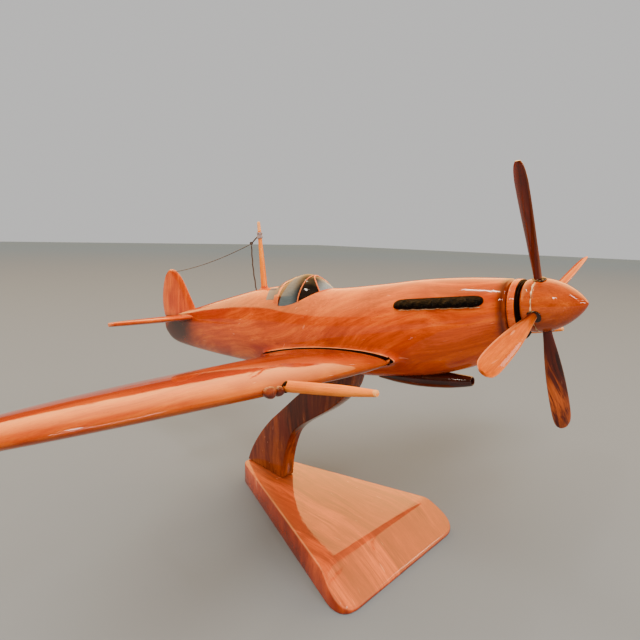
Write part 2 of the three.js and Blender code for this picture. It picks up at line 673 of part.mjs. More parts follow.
add(airframe, 'fuselage', fuselage(), MAHOGANY);
add(airframe, 'nose_ring', noseRing(), MAHOGANY);
add(airframe, 'windscreen', canopyBlock(CANOPY.front, CANOPY.split, 0, 6), BLACK_LACQUER);
add(airframe, 'canopy_hood', canopyBlock(CANOPY.split - CANOPY.gap, CANOPY.rear, 0, 6), BLACK_LACQUER);
add(airframe, 'intake_scoop', scoop(), MAROON_LACQUER);
add(airframe, 'fin_and_rudder', fin(), MAHOGANY);
FIN.dowels.forEach((x, i) => add(airframe, `fin_dowel_${i + 1}`, finDowel(x, DOWEL.radius), PALE_WOOD));
add(airframe, 'tailplane_dowel', crossDowel(DOWEL.radius), PALE_WOOD);
add(airframe, 'radio_mast', mastStick(), PALE_WOOD);
add(airframe, 'mast_tie', mastTie(), THREAD);
add(airframe, 'aerial_wire', aerialWire(), THREAD);
add(airframe, 'aerial_lead_in', tube(LEAD_IN, WIRE_RADIUS, 14), THREAD);

for (const [name, side] of SIDES) {
  add(airframe, `wing_${name}`, wing(side), MAHOGANY);
  DOWEL_PLACES.forEach((x, i) =>
    add(airframe, `wing_dowel_${name}_${i + 1}`, wingDowel(side, x, DOWEL.radius), PALE_WOOD));
  add(airframe, `cannon_${name}`, cannon(side), PALE_WOOD);
  add(airframe, `gun_stub_${name}`, gunStub(side), MAHOGANY);
  add(airframe, `exhaust_${name}`, exhaustStrip(side), BLACK_LACQUER);
  add(airframe, `tailplane_${name}`, cut(tailplane(side), crossDowel(DOWEL.radius + GAP, GAP)), MAHOGANY);
}

add(airframe, 'propeller_pin', propellerPin(), STEEL);
add(airframe, 'propeller_washer', propellerWasher(), BRASS);
add(airframe, 'spinner_plate', spinnerPlate(), MAHOGANY);
add(airframe, 'spinner_cone', spinnerCone(), MAHOGANY);
for (let i = 0; i < PROP.blades; i += 1) add(airframe, `blade_${i + 1}`, bladeAt(i), BLADE_WOOD);

export default model;
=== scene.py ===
"""Looks of a carved, varnished hardwood desk model of a propeller fighter on its stand."""
import math
import bmesh
import bpy
import numpy as np
from mathutils import Matrix, Vector


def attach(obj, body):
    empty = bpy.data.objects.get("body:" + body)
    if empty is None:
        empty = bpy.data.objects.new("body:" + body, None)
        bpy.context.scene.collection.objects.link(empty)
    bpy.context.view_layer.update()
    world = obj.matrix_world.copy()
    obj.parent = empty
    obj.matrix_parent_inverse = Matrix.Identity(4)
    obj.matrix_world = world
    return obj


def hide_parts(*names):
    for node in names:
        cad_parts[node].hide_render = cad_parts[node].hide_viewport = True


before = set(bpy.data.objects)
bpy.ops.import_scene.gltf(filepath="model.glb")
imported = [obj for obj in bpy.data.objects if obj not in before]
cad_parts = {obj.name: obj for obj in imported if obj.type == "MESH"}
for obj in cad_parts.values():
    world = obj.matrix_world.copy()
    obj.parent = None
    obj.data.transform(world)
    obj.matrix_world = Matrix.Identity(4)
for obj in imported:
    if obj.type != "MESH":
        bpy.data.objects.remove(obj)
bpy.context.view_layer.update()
MM = 0.001

# ---------------------------------------------------------------- placing
PITCH = math.radians(8.9)            # the airframe sits nose up
HUB = np.array([107.5, 0.0, 133.0])  # where the propeller shaft meets the blade plane
SIDES = (("starboard", -1), ("port", 1))


def to_row(points, airframe):
    """Millimetres, in the airframe's or the stand's frame, to metres in the row frame."""
    points = np.asarray(points, float)
    if airframe:
        x, y, z = points[:, 0], points[:, 1], points[:, 2]
        c, s = math.cos(PITCH), math.sin(PITCH)
        points = np.stack([x * c - z * s, y, x * s + z * c], 1) + HUB
    return points * MM


def place_object(name, data):
    made = bpy.data.objects.new(name, data)
    bpy.context.scene.collection.objects.link(made)
    return made


# ---------------------------------------------------------------- camera
CAMERA_AZIMUTH, CAMERA_ELEVATION, CAMERA_ROLL = 44.47, 10.08, 1.67
CAMERA_PLACE, CAMERA_LENS = (0.1675, -0.17436, 0.15482), 26.41


def make_camera():
    az, el, roll = (math.radians(v) for v in (CAMERA_AZIMUTH, CAMERA_ELEVATION, CAMERA_ROLL))
    back = Vector((math.sin(az) * math.cos(el), -math.cos(az) * math.cos(el), math.sin(el)))
    right = Vector((math.cos(az), math.sin(az), 0))
    up = back.cross(right)
    right, up = (right * math.cos(roll) + up * math.sin(roll),
                 up * math.cos(roll) - right * math.sin(roll))
    data = bpy.data.cameras.new("camera")
    data.sensor_width = 36
    data.lens = CAMERA_LENS
    data.clip_start = 0.01
    camera = place_object("camera", data)
    turn = Matrix((right, up, back)).transposed().to_4x4()
    camera.matrix_world = Matrix.Translation(CAMERA_PLACE) @ turn
    bpy.context.scene.camera = camera


make_camera()


# ---------------------------------------------------------------- materials
class Tree:
    """A node tree under construction."""

    def __init__(self, tree):
        self.tree = tree

    def add(self, kind, **settings):
        node = self.tree.nodes.new(kind)
        sockets = {s.name.lower().replace(" ", "_"): s for s in node.inputs}
        for key, value in settings.items():
            if key in sockets:
                sockets[key].default_value = value
            else:
                setattr(node, key, value)
        return node

    def join(self, output, socket):
        self.tree.links.new(output, socket)

    def feed(self, socket, value):
        """Links the value to the socket if it is an output, or else sets it."""
        if isinstance(value, bpy.types.NodeSocket):
            self.join(value, socket)
        else:
            socket.default_value = value

    def place(self, source, scale):
        """The piece's own coordinates, stretched by scale along each axis."""
        mapping = self.add("ShaderNodeMapping")
        mapping.inputs["Scale"].default_value = scale
        self.join(source, mapping.inputs["Vector"])
        return mapping.outputs[0]

    def noise(self, vector, scale, detail=3.0, roughness=0.5, distortion=0.0, out="Fac"):
        """Noise over the coordinates, stretched by scale along each axis."""
        node = self.add("ShaderNodeTexNoise", scale=1.0, detail=detail, roughness=roughness,
                        distortion=distortion)
        self.join(self.place(vector, scale), node.inputs["Vector"])
        return node.outputs[out]

    def ramp(self, factor, stops):
        node = self.add("ShaderNodeValToRGB")
        band = node.color_ramp
        while len(band.elements) < len(stops):
            band.elements.new(0.5)
        for element, (place, color) in zip(band.elements, stops):
            element.position = place
            element.color = (*color, 1) if len(color) == 3 else color
        self.join(factor, node.inputs["Fac"])
        return node.outputs["Color"]

    def steps(self, factor, low, high):
        """0 below low, 1 above high, and smooth between."""
        node = self.add("ShaderNodeMapRange", interpolation_type="SMOOTHSTEP")
        node.inputs["From Min"].default_value = low
        node.inputs["From Max"].default_value = high
        self.join(factor, node.inputs["Value"])
        return node.outputs["Result"]

    def mix(self, factor, first, second, blend="MIX"):
        node = self.add("ShaderNodeMix", data_type="RGBA", blend_type=blend)
        self.feed(node.inputs[0], factor)
        for index, value in ((6, first), (7, second)):
            self.feed(node.inputs[index], (*value, 1) if isinstance(value, tuple) else value)
        return node.outputs[2]

    def sum(self, first, second, operation="ADD"):
        node = self.add("ShaderNodeMath", operation=operation)
        self.feed(node.inputs[0], first)
        self.feed(node.inputs[1], second)
        return node.outputs[0]

    def vector(self, operation, first, second):
        node = self.add("ShaderNodeVectorMath", operation=operation)
        self.feed(node.inputs[0], first)
        self.feed(node.inputs[1], second)
        return node


class Nodes(Tree):
    """A principled material under construction."""

    def __init__(self, name, **sockets):
        self.material = bpy.data.materials.new(name)
        self.material.use_nodes = True
        super().__init__(self.material.node_tree)
        self.tree.nodes.clear()
        self.shader = self.add("ShaderNodeBsdfPrincipled", **sockets)
        output = self.add("ShaderNodeOutputMaterial")
        self.join(self.shader.outputs[0], output.inputs["Surface"])

    def paint(self, color):
        self.join(color, self.shader.inputs["Base Color"])

    def bump(self, height, strength, distance=0.0002, onto="Normal"):
        node = self.add("ShaderNodeBump", strength=strength, distance=distance)
        self.join(height, node.inputs["Height"])
        self.join(node.outputs[0], self.shader.inputs[onto])

    def grain_place(self, seed=0.0):
        """The piece's grain coordinates in millimetres: along the grain, then the two ways across it."""
        vector = self.add("ShaderNodeAttribute", attribute_name="grain").outputs["Vector"]
        return self.shift(vector, (seed * 31.7, seed * 17.3, seed * 9.1)) if seed else vector

    def object_place(self, seed=0.0):
        """The same for a piece carried over as it is, from its own coordinates."""
        vector = self.place(self.add("ShaderNodeTexCoord").outputs["Object"], (1000, 1000, 1000))
        return self.shift(vector, (seed * 31.7, seed * 17.3, seed * 9.1))

    def shift(self, vector, by):
        return self.vector("ADD", vector, by).outputs[0]

    def drift(self, vector, scale, amount):
        """The coordinates, wandering slowly by up to this many millimetres along each axis."""
        wander = self.noise(vector, scale, 1.0, out="Color")
        centred = self.shift(wander, (-0.5, -0.5, -0.5))
        return self.shift(vector, self.vector("MULTIPLY", centred, amount).outputs[0])

    def painted(self, name):
        """A share from 0 to 1 stored on the piece's points."""
        return self.add("ShaderNodeAttribute", attribute_name=name).outputs["Fac"]


def coated(name, roughness, coat, gloss, ior):
    """A matt surface that shines only through its clear coat."""
    return Nodes(name, roughness=roughness, specular_ior_level=0.0, coat_weight=coat,
                 coat_roughness=gloss, coat_ior=ior)


# Pale bare wood: the colour of rubbed wear, and of painted edge highlights.
BARE_WOOD_AND_SHEEN = (0.95, 0.42, 0.2)


def wood(name, dark, mid, light, patch, figure=1.0, fibre=0.35, gloss=0.05, coat=1.0, seed=0.0,
         deep=(0.09, 0.008, 0.003)):
    """Varnished hardwood: flowing figure, red patches, fibres, pores and scratches under a clear coat,
    with painted shade and painted edge highlights stored on the piece's points.
    """
    n = coated(name, 0.5, coat, gloss, 1.42)
    here = n.grain_place(seed + 1)
    flow = n.drift(here, (0.02, 0.035, 0.035), (0, 16, 16))
    broad = n.noise(flow, (0.011, 0.06, 0.06), 2.0, 0.5)
    bands = n.noise(flow, (0.014, 0.38, 0.38), 4.0, 0.6)
    fine = n.noise(flow, (0.05, 1.7, 1.7), 3.0, 0.6)
    tone = n.sum(n.sum(n.sum(broad, 0.5, "MULTIPLY"), n.sum(bands, 0.35 * figure, "MULTIPLY")),
                 n.sum(fine, 0.15, "MULTIPLY"))
    centre = 0.325 + 0.175 * figure
    tone = n.steps(tone, centre - 0.15, centre + 0.15)
    color = n.ramp(tone, [(0.0, dark), (0.5, mid), (1.0, light)])
    patches = n.steps(n.noise(flow, (0.022, 0.05, 0.05), 3.0, 0.55), 0.46, 0.62)
    color = n.mix(n.sum(patches, 0.75, "MULTIPLY"), color, patch)
    flames = n.noise(flow, (0.3, 0.07, 0.07), 2.0, 0.5)
    shade = n.ramp(n.steps(flames, 0.36, 0.64), [(0.0, (0.86, 0.82, 0.8)), (1.0, (1.0, 1.0, 1.0))])
    color = n.mix(0.35, color, shade, "MULTIPLY")
    fibres = n.noise(here, (0.12, 3.4, 3.4), 3.0, 0.6, 0.2)
    streaks = n.ramp(n.steps(fibres, 0.34, 0.62), [(0.0, (0.5, 0.4, 0.35)), (1.0, (1.0, 1.0, 1.0))])
    color = n.mix(fibre, color, streaks, "MULTIPLY")
    pores = n.steps(n.noise(here, (0.5, 6.0, 6.0), 2.0, 0.5), 0.64, 0.72)
    color = n.mix(n.sum(pores, 0.6, "MULTIPLY"), color, tuple(v * 0.3 for v in dark))
    # Painted shade: darkened towards the deep colour by the share stored on the piece's points.
    color = n.mix(n.painted("stain"), color, deep)
    # Painted highlight: lightened towards pale wood by the share stored on the piece's points.
    color = n.mix(n.sum(n.painted("painted_sheen"), 0.8, "MULTIPLY"), color, BARE_WOOD_AND_SHEEN)
    wander = n.drift(here, (0.01, 0.01, 0.01), (30, 60, 60))
    rubs = n.steps(n.noise(wander, (0.09, 0.9, 0.9), 0.0), 0.8, 0.86)
    color = n.mix(n.sum(rubs, 0.25, "MULTIPLY"), color, BARE_WOOD_AND_SHEEN)
    n.paint(color)
    n.bump(fibres, 0.12)
    peel = n.noise(here, (0.3, 0.4, 0.4), 3.0, 0.6)
    n.bump(peel, 0.08, 0.0004, "Coat Normal")
    return n.material


def lacquer(name, color, tint, gloss=0.04, coat=1.0, ripple=0.12, fine=0.6, relief=0.0004):
    """Thick brushed gloss lacquer, slightly wavy."""
    n = coated(name, 0.4, coat, gloss, 1.5)
    here = n.grain_place()
    wash = n.noise(here, (0.1, 0.3, 0.3), 3.0, 0.6, 0.5)
    n.paint(n.mix(n.steps(wash, 0.35, 0.7), color, tint))
    n.bump(n.noise(here, (fine, fine, fine), 3.0, 0.6), ripple, relief, "Coat Normal")
    return n.material


def graded_reflection(name, front, rear, dark, light, gloss=0.05):
    """Gloss canopy paint, dark at one station and grey at the other, the grey being a painted reflection;
    with fine brush marks.
    """
    n = coated(name, 0.35, 0.6, gloss, 1.5)
    here = n.grain_place()
    split = n.add("ShaderNodeSeparateXYZ")
    n.join(here, split.inputs[0])
    share = n.steps(split.outputs[0], rear, front)
    marks = n.noise(here, (0.25, 1.6, 1.6), 3.0, 0.6)
    color = n.mix(share, light, dark)
    color = n.mix(n.sum(n.steps(marks, 0.35, 0.7), 0.25, "MULTIPLY"), color, dark)
    n.paint(color)
    n.bump(n.noise(here, (0.3, 0.3, 0.3), 2.0), 0.08, 0.0004, "Coat Normal")
    return n.material


def pale_wood(name, dark, light, gloss=0.3, coat=0.35, plain=False):
    """Straight-grained dowel wood with a thin satin finish."""
    n = coated(name, 0.5, coat, gloss, 1.4)
    here = n.object_place(2.0) if plain else n.grain_place()
    fibres = n.noise(here, (0.08, 2.4, 2.4), 4.0, 0.6, 0.3)
    wash = n.noise(here, (0.05, 0.12, 0.12), 2.0)
    color = n.ramp(n.steps(n.sum(fibres, wash), 0.75, 1.25), [(0.0, dark), (1.0, light)])
    flecks = n.steps(n.noise(here, (0.6, 5.0, 5.0), 2.0), 0.62, 0.72)
    color = n.mix(n.sum(flecks, 0.4, "MULTIPLY"), color, tuple(v * 0.4 for v in dark))
    # Painted shade: darkened towards a deep tone by the share stored on the piece's points.
    n.paint(n.mix(n.painted("stain"), color, tuple(v * 0.12 for v in dark)))
    n.bump(fibres, 0.25)
    return n.material


def metal(name, color, roughness):
    """Turned metal with fine brush marks and a little tarnish."""
    n = Nodes(name, metallic=1.0, roughness=roughness)
    here = n.add("ShaderNodeTexCoord").outputs["Object"]
    marks = n.noise(here, (400, 9000, 9000), 3.0)
    spots = n.noise(here, (900, 900, 900), 4.0)
    worn = tuple(v * 0.55 for v in color)
    n.paint(n.mix(n.steps(spots, 0.45, 0.8), color, worn))
    n.bump(marks, 0.2, 0.00005)
    return n.material


def thread(name, dark, light):
    """Waxed twine: fine twisted strands."""
    n = Nodes(name, roughness=0.7, sheen_weight=0.3)
    here = n.grain_place()
    wave = n.add("ShaderNodeTexWave", bands_direction="DIAGONAL", scale=1.1, distortion=1.0)
    n.join(here, wave.inputs["Vector"])
    n.paint(n.mix(wave.outputs["Fac"], dark, light))
    n.bump(wave.outputs["Fac"], 0.5, 0.0001)
    return n.material


# each wood: its dark, middle and light tones, then its red patches; deep is the colour of its painted
# shade
BODY = wood("body_wood", (0.36, 0.038, 0.002), (0.61, 0.086, 0.003), (0.80, 0.165, 0.008),
            (0.38, 0.028, 0.002), deep=(0.07, 0.009, 0.002), fibre=0.24)
WING = wood("wing_wood", (0.34, 0.030, 0.002), (0.58, 0.085, 0.003), (0.74, 0.165, 0.008),
            (0.40, 0.030, 0.002), seed=2.0, coat=0.85, deep=(0.13, 0.015, 0.003), fibre=0.24)
SPIN = wood("spinner_wood", (0.27, 0.036, 0.004), (0.41, 0.064, 0.005), (0.56, 0.11, 0.01),
            (0.32, 0.040, 0.004), seed=3.0)
BASE_WOOD = wood("base_wood", (0.19, 0.020, 0.003), (0.39, 0.047, 0.005), (0.68, 0.11, 0.012),
                 (0.30, 0.034, 0.004), seed=4.0, figure=1.6, gloss=0.03)
ARM_WOOD = wood("arm_wood", (0.055, 0.009, 0.003), (0.15, 0.027, 0.005), (0.36, 0.078, 0.010),
                (0.14, 0.016, 0.004), seed=5.0, figure=1.5, gloss=0.12)
BLADE_DARK = wood("blade_dark_wood", (0.03, 0.003, 0.002), (0.08, 0.009, 0.003), (0.17, 0.02, 0.005),
                  (0.06, 0.005, 0.002), seed=6.0, figure=1.3)
BLADE_LIGHT = wood("blade_light_wood", (0.46, 0.075, 0.002), (0.64, 0.135, 0.002), (0.76, 0.21, 0.003),
                   (0.62, 0.10, 0.002), seed=7.0, coat=0.3, deep=(0.05, 0.004, 0.002))
BLADE_MOTTLED = wood("blade_mottled_wood", (0.02, 0.003, 0.002), (0.09, 0.010, 0.003),
                     (0.55, 0.11, 0.010), (0.05, 0.005, 0.002), seed=8.0, figure=1.9)
LIP = wood("bare_edge_wood", (0.62, 0.13, 0.03), (0.80, 0.22, 0.07), (0.90, 0.32, 0.13),
           (0.75, 0.16, 0.04), seed=9.0, gloss=0.15)
BLACK = lacquer("black_lacquer", (0.004, 0.004, 0.004), (0.012, 0.01, 0.009))
MAROON = lacquer("maroon_lacquer", (0.022, 0.004, 0.003), (0.05, 0.008, 0.005))
TAR = lacquer("tar_black", (0.0012, 0.0012, 0.0014), (0.003, 0.003, 0.003), 0.05, 0.14, 1.0, 0.6, 0.0015)
FILLER = lacquer("dark_filler", (0.012, 0.003, 0.002), (0.03, 0.006, 0.004), 0.05, 1.0, 0.3, 0.9)
# Dark band behind the hood: painted shade at the step there.
CRESCENT_SHADE = lacquer("crescent_stain", (0.03, 0.008, 0.005), (0.07, 0.014, 0.007), 0.1)
HOOD_PAINT_AND_REFLECTION = graded_reflection("hood_paint", -116.5, -124.0, (0.006, 0.007, 0.008), (0.10, 0.145, 0.17))
PANE_PAINT_AND_REFLECTION = graded_reflection("front_pane_paint", -112.0, -103.0, (0.012, 0.013, 0.015), (0.26, 0.31, 0.34))
QUARTER_PAINT_AND_REFLECTION = graded_reflection("quarter_paint", -136.0, -150.0, (0.09, 0.09, 0.10), (0.16, 0.18, 0.20))
# Near-black lacquer: painted shade in the gaps at the nose ring and wing roots, and dark glue at the
# cannon roots.
SHADE_AND_GLUE_BLACK = lacquer("seam_stain", (0.004, 0.002, 0.001), (0.012, 0.003, 0.002), 0.3, 0.15)
BEAD = lacquer("glue_bead_stain", (0.07, 0.009, 0.004), (0.24, 0.04, 0.01), 0.04, 1.0, 1.0, 0.9)
TAN = pale_wood("tan_dowel", (0.70, 0.16, 0.015), (0.92, 0.27, 0.03))
CREAM = pale_wood("cream_dowel", (0.8, 0.34, 0.10), (0.92, 0.5, 0.2))
DOWEL = pale_wood("plain_dowel", (0.6, 0.36, 0.16), (0.8, 0.55, 0.28), plain=True)
MAST_WOOD = pale_wood("mast_wood", (0.66, 0.12, 0.002), (0.86, 0.26, 0.006), 0.15, 0.3)
GLUE = pale_wood("glue_line", (0.50, 0.28, 0.12), (0.85, 0.66, 0.42), 0.2, 0.6)
STEEL = metal("plain_steel", (0.48, 0.50, 0.53), 0.35)
BRASS = metal("plain_brass", (0.58, 0.36, 0.07), 0.3)
DARK_THREAD = thread("dark_thread", (0.02, 0.010, 0.008), (0.07, 0.035, 0.028))
GREY_THREAD = thread("grey_thread", (0.10, 0.07, 0.08), (0.45, 0.38, 0.40))


# ---------------------------------------------------------------- mesh making
def solid_mesh(name, points, faces, airframe):
    """A mesh from millimetre points, with its faces turned outwards."""
    mesh = bpy.data.meshes.new(name)
    mesh.from_pydata(to_row(points, airframe).tolist(), [], [list(f) for f in faces])
    mesh.validate()
    work = bmesh.new()
    work.from_mesh(mesh)
    bmesh.ops.recalc_face_normals(work, faces=work.faces)
    work.to_mesh(mesh)
    work.free()
    return mesh


def store(mesh, key, share):
    layer = mesh.attributes.new(key, "FLOAT", "POINT")
    layer.data.foreach_set("value", np.clip(share, 0, 1).astype(np.float32))


def piece(name, points, faces, material, body="airframe", grain=None, nodes=(),
          stain=None, painted_sheen=None):
    """A finished mesh object from millimetre points. grain holds each point's grain coordinates, and
    the painted shade and painted highlight shares how far each point is darkened or lightened."""
    points = np.asarray(points, float)
    mesh = solid_mesh(name, points, faces, body != "stand")
    attribute = mesh.attributes.new("grain", "FLOAT_VECTOR", "POINT")
    own = points if grain is None else np.asarray(grain, float)
    attribute.data.foreach_set("vector", own.astype(np.float32).ravel())
    for key, share in (("stain", stain), ("painted_sheen", painted_sheen)):
        if share is not None:
            store(mesh, key, share)
    mesh.materials.append(material)
    mesh.shade_smooth()
    mesh.set_sharp_from_angle(angle=math.radians(40))
    made = place_object(name, mesh)
    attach(made, body)
    if nodes:
        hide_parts(*nodes)
    return made


def skin(rings, closed=True, capped=(True, True)):
    """Points and faces over rings of equal length. A capped end is closed by a fan to its middle."""
    rings = [np.asarray(r, float) for r in rings]
    around = len(rings[0])
    points = np.concatenate(rings)
    faces = []
    last = around if closed else around - 1
    for i in range(len(rings) - 1):
        for j in range(last):
            a, b = i * around + j, i * around + (j + 1) % around
            faces.append((a, b, b + around, a + around))
    for wanted, ring in zip(capped, (0, len(rings) - 1)):
        if wanted:
            middle = len(points)
            points = np.concatenate([points, rings[ring].mean(0)[None]])
            faces += [(ring * around + j, ring * around + (j + 1) % around, middle) for j in range(last)]
    return points, faces


def gather(*parts):
    """Several (points, faces) pairs as one."""
    points, faces, count = [], [], 0
    for p, f in parts:
        points.append(p)
        faces += [tuple(i + count for i in face) for face in f]
        count += len(p)
    return np.concatenate(points), faces


def along(pairs, x):
    """Smooth value at x between [x, value] pairs listed in order of falling x."""
    pairs = pairs if pairs[0][0] > pairs[-1][0] else pairs[::-1]
    if x >= pairs[0][0]:
        return pairs[0][1]
    if x <= pairs[-1][0]:
        return pairs[-1][1]
    i = next(k for k, p in enumerate(pairs) if p[0] < x) - 1

    def slope(k):
        a, b = pairs[max(k - 1, 0)], pairs[min(k + 1, len(pairs) - 1)]
        return (b[1] - a[1]) / (b[0] - a[0])

    (x0, y0), (x1, y1) = pairs[i], pairs[i + 1]
    span = x1 - x0
    t = (x - x0) / span
    value = (2 * t**3 - 3 * t**2 + 1) * y0 + (3 * t**2 - 2 * t**3) * y1
    return value + (t**3 - 2 * t**2 + t) * span * slope(i) + (t**3 - t**2) * span * slope(i + 1)


def rounding(depth, radius):
    """How far a rounded edge stands in from its full size at this depth behind its end."""
    if depth >= radius:
        return 0.0
    return radius - math.sqrt(max(radius**2 - (radius - depth) ** 2, 0))


def inset(ring, amount):
    """The ring, moved in towards its middle by this many millimetres."""
    middle = ring.mean(0)
    arms = ring - middle
    reach = np.linalg.norm(arms, axis=1, keepdims=True)
    return middle + arms * np.maximum(1 - amount / np.maximum(reach, 1e-6), 0.02)


def round_bar(points, radii, sides=24):
    """Points and faces of a round bar through points, with a radius at each."""
    points = np.asarray(points, float)
    heading = np.gradient(points, axis=0)
    heading /= np.linalg.norm(heading, axis=1, keepdims=True)
    side = np.cross(heading[0], (0.0, 1.0, 0.0))
    if np.linalg.norm(side) < 0.1:
        side = np.cross(heading[0], (0.0, 0.0, 1.0))
    rings, grain, length = [], [], 0.0
    for i, (p, h, r) in enumerate(zip(points, heading, radii)):
        side = side - h * (side @ h)
        side /= np.linalg.norm(side)
        third = np.cross(h, side)
        angle = np.linspace(0, 2 * math.pi, sides, endpoint=False)[:, None]
        rings.append(p + r * (np.cos(angle) * side + np.sin(angle) * third))
        if i:
            length += np.linalg.norm(p - points[i - 1])
        across = r * np.concatenate([np.cos(angle), np.sin(angle)], 1)
        grain.append(np.concatenate([np.full((sides, 1), length), across], 1))
    solid = skin(rings)
    grain = np.concatenate([*grain, grain[0].mean(0)[None], grain[-1].mean(0)[None]])
    return solid, grain


def lathe(profile, sides=96):
    angle = np.linspace(0, 2 * math.pi, sides, endpoint=False)
    rings = [np.stack([np.full(sides, float(x)), r * np.cos(angle), r * np.sin(angle)], 1)
             for x, r in profile]
    return skin(rings)


# ---------------------------------------------------------------- fuselage lines
TOP_LINE = [(-6, 9.8), (-15, 10.8), (-30, 12), (-48, 12.5), (-72, 11.9), (-98, 11.8), (-118, 13.6),
            (-138, 15.6), (-158, 15), (-172, 13.8), (-207, 9.7), (-239, 5.6), (-268, 3.2), (-283, 2.2)]
KEEL_LINE = [(-6, -12), (-15, -17.6), (-24, -22.6), (-38, -26.8), (-50, -29.2), (-73, -31), (-110, -31.6),
             (-150, -30.6), (-184, -28.6), (-225, -24.8), (-262, -20), (-276, -16.2), (-283, -10.5)]
SIDE_LINE = [(-6, 10.2), (-15, 11.3), (-30, 12.7), (-60, 14), (-100, 14.4), (-135, 14), (-160, 12.8),
             (-200, 9.8), (-240, 6.4), (-270, 3.6), (-283, 2.2)]
WAIST_LINE = [(-6, 0), (-24, -4.5), (-50, -8), (-110, -9.5), (-184, -8), (-283, -5)]


def section_at(x):
    """Top, keel, half-width and waist height of the fuselage at station x."""
    return [along(line, x) for line in (TOP_LINE, KEEL_LINE, SIDE_LINE, WAIST_LINE)]


def hull_ring(x, around=112):
    top, keel, side, waist = section_at(x)
    angle = np.linspace(0, 2 * math.pi, around, endpoint=False)
    rise = np.where(np.sin(angle) > 0, top - waist, waist - keel)
    return np.stack([np.full(around, float(x)), side * np.cos(angle), waist + rise * np.sin(angle)], 1)


def side_at(x, z):
    """Half-width of the fuselage at station x and height z."""
    top, keel, side, waist = section_at(x)
    reach = (z - waist) / (top - waist) if z > waist else (waist - z) / (waist - keel)
    return side * math.sqrt(max(1 - reach * reach, 0))


def near(values, centre, reach):
    """1 at the centre, falling smoothly to 0 this far away."""
    return np.exp(-((np.asarray(values) - centre) / reach) ** 2 * 2)


def body_grain(points):
    """The fuselage block's grain climbs slightly towards the nose and winds a little."""
    x, y, z = points[:, 0], points[:, 1], points[:, 2]
    return np.stack([x + 0.2 * z, y, z - 0.2 * x + 4 * np.sin(x / 34 + z / 18)], 1)


def body_painted_shade(points):
    """Painted shade: darker in the groove behind the nose ring and in the corner under the tailplane."""
    x, y, z = points[:, 0], points[:, 1], points[:, 2]
    groove = near(x, -10.8, 2.6) * 0.95
    tail = near(x, -264, 46) * near(z, -10.0, 18.0) * 1.2
    return np.maximum(groove, tail)


def make_hull():
    front, rear, edge, tail = -9.5, -283.0, 1.3, 1.6
    stations = [front - edge * (1 - math.cos(t)) for t in np.linspace(0, math.pi / 2, 9)]
    stations += list(np.linspace(front - edge - 0.8, rear + tail + 1, 210))
    stations += [rear + tail * (1 - math.sin(t)) for t in np.linspace(0, math.pi / 2, 8)]
    rings = []
    for x in stations:
        depth = min(front - x, x - rear)
        radius = edge if front - x < x - rear else tail
        rings.append(inset(hull_ring(x), rounding(depth, radius)))
    points, faces = skin(rings)
    piece("fuselage_body", points, faces, BODY, nodes=["fuselage"],
          grain=body_grain(points), stain=body_painted_shade(points))


def make_nose_ring():
    front, rear = -6.0, -9.2
    rings = []
    for t in np.linspace(0, 1, 17):
        x = front + (rear - front) * t
        depth_front, depth_rear = (front - x), (x - rear)
        drop = rounding(depth_front, 0.5) + rounding(depth_rear, 1.3)
        rings.append(inset(hull_ring(x), drop))
    points, faces = skin(rings)
    # The band darkens towards its rear, in the groove: painted shade.
    band = piece("nose_ring_band", points, faces, BODY, nodes=["nose_ring"],
                 grain=body_grain(points), stain=near(points[:, 0], rear, 0.8) * 0.6)
    # Its front face takes the near-black lacquer: painted shade in the gap before the spinner.
    band.data.materials.append(SHADE_AND_GLUE_BLACK)
    for face in band.data.polygons:
        if np.mean([points[i][0] for i in face.vertices]) > front - 0.12:
            face.material_index = 1
    # A near-black disc deep in the gap: painted shadow.
    disc = [(-6.4, 8.9), (-5.55, 8.9), (-5.3, 8.6)]
    points, faces = lathe(disc)
    piece("nose_gap_shadow", points, faces, SHADE_AND_GLUE_BLACK)


# ---------------------------------------------------------------- wings
WING_ROOT, HALF_SPAN, CHORD, LEADING_EDGE, FRONT_SHARE = 14.8, 173.0, 77.0, -54.2, 0.24
THICK_ROOT, THICK_TIP, ROOT_HEIGHT, DIHEDRAL = 9.6, 3.0, -21.4, math.radians(1.6)
SEAM_Y = 14.5


def wing_chord(y):
    reach = min(abs(y) / HALF_SPAN, 1)
    share = math.sqrt(max(1 - reach * reach, 0))
    axis = LEADING_EDGE - FRONT_SHARE * CHORD
    flare = max(1 - (abs(y) - SEAM_Y) / 30, 0)
    front = axis + FRONT_SHARE * CHORD * share - 2.3 * flare**3
    rear = axis - (1 - FRONT_SHARE) * CHORD * share - 17 * flare**2.2
    thick = THICK_TIP + (THICK_ROOT - THICK_TIP) * share
    height = ROOT_HEIGHT + max(abs(y) - WING_ROOT, 0) * math.tan(DIHEDRAL)
    return front, rear, thick, height, flare


def wing_ring(y, around=96, side=1):
    front, rear, thick, height, flare = wing_chord(y)
    chord, half = front - rear, around // 2
    power = 0.9 - 0.25 * flare
    peak = math.sqrt(0.5 / (0.5 + power)) * (power / (0.5 + power)) ** power
    full = (1.04 - 0.18 * flare) / peak
    ring = []
    for i in range(around):
        over = i <= half
        turn = i / half if over else (around - i) / half
        s = (1 - math.cos(turn * math.pi)) / 2
        bulge = full * math.sqrt(s) * (1 - s) ** power + 0.11 * math.sin(math.pi * s)
        lift = (0.56 if over else -0.44) * thick * bulge
        ring.append((front - s * chord, side * y, height + lift + (0.5 - s) * 0.6))
    return np.array(ring)


def outward(ring):
    """Unit normals of a section's outline, in the x-z plane."""
    run = np.roll(ring, -1, 0) - np.roll(ring, 1, 0)
    out = np.stack([run[:, 2], np.zeros(len(ring)), -run[:, 0]], 1)
    out /= np.maximum(np.linalg.norm(out, axis=1, keepdims=True), 1e-9)
    return -out if ((ring - ring.mean(0)) * out).sum() < 0 else out


def shrink_section(ring, amount):
    """A section moved in along its own outline's normals."""
    return ring - outward(ring) * amount


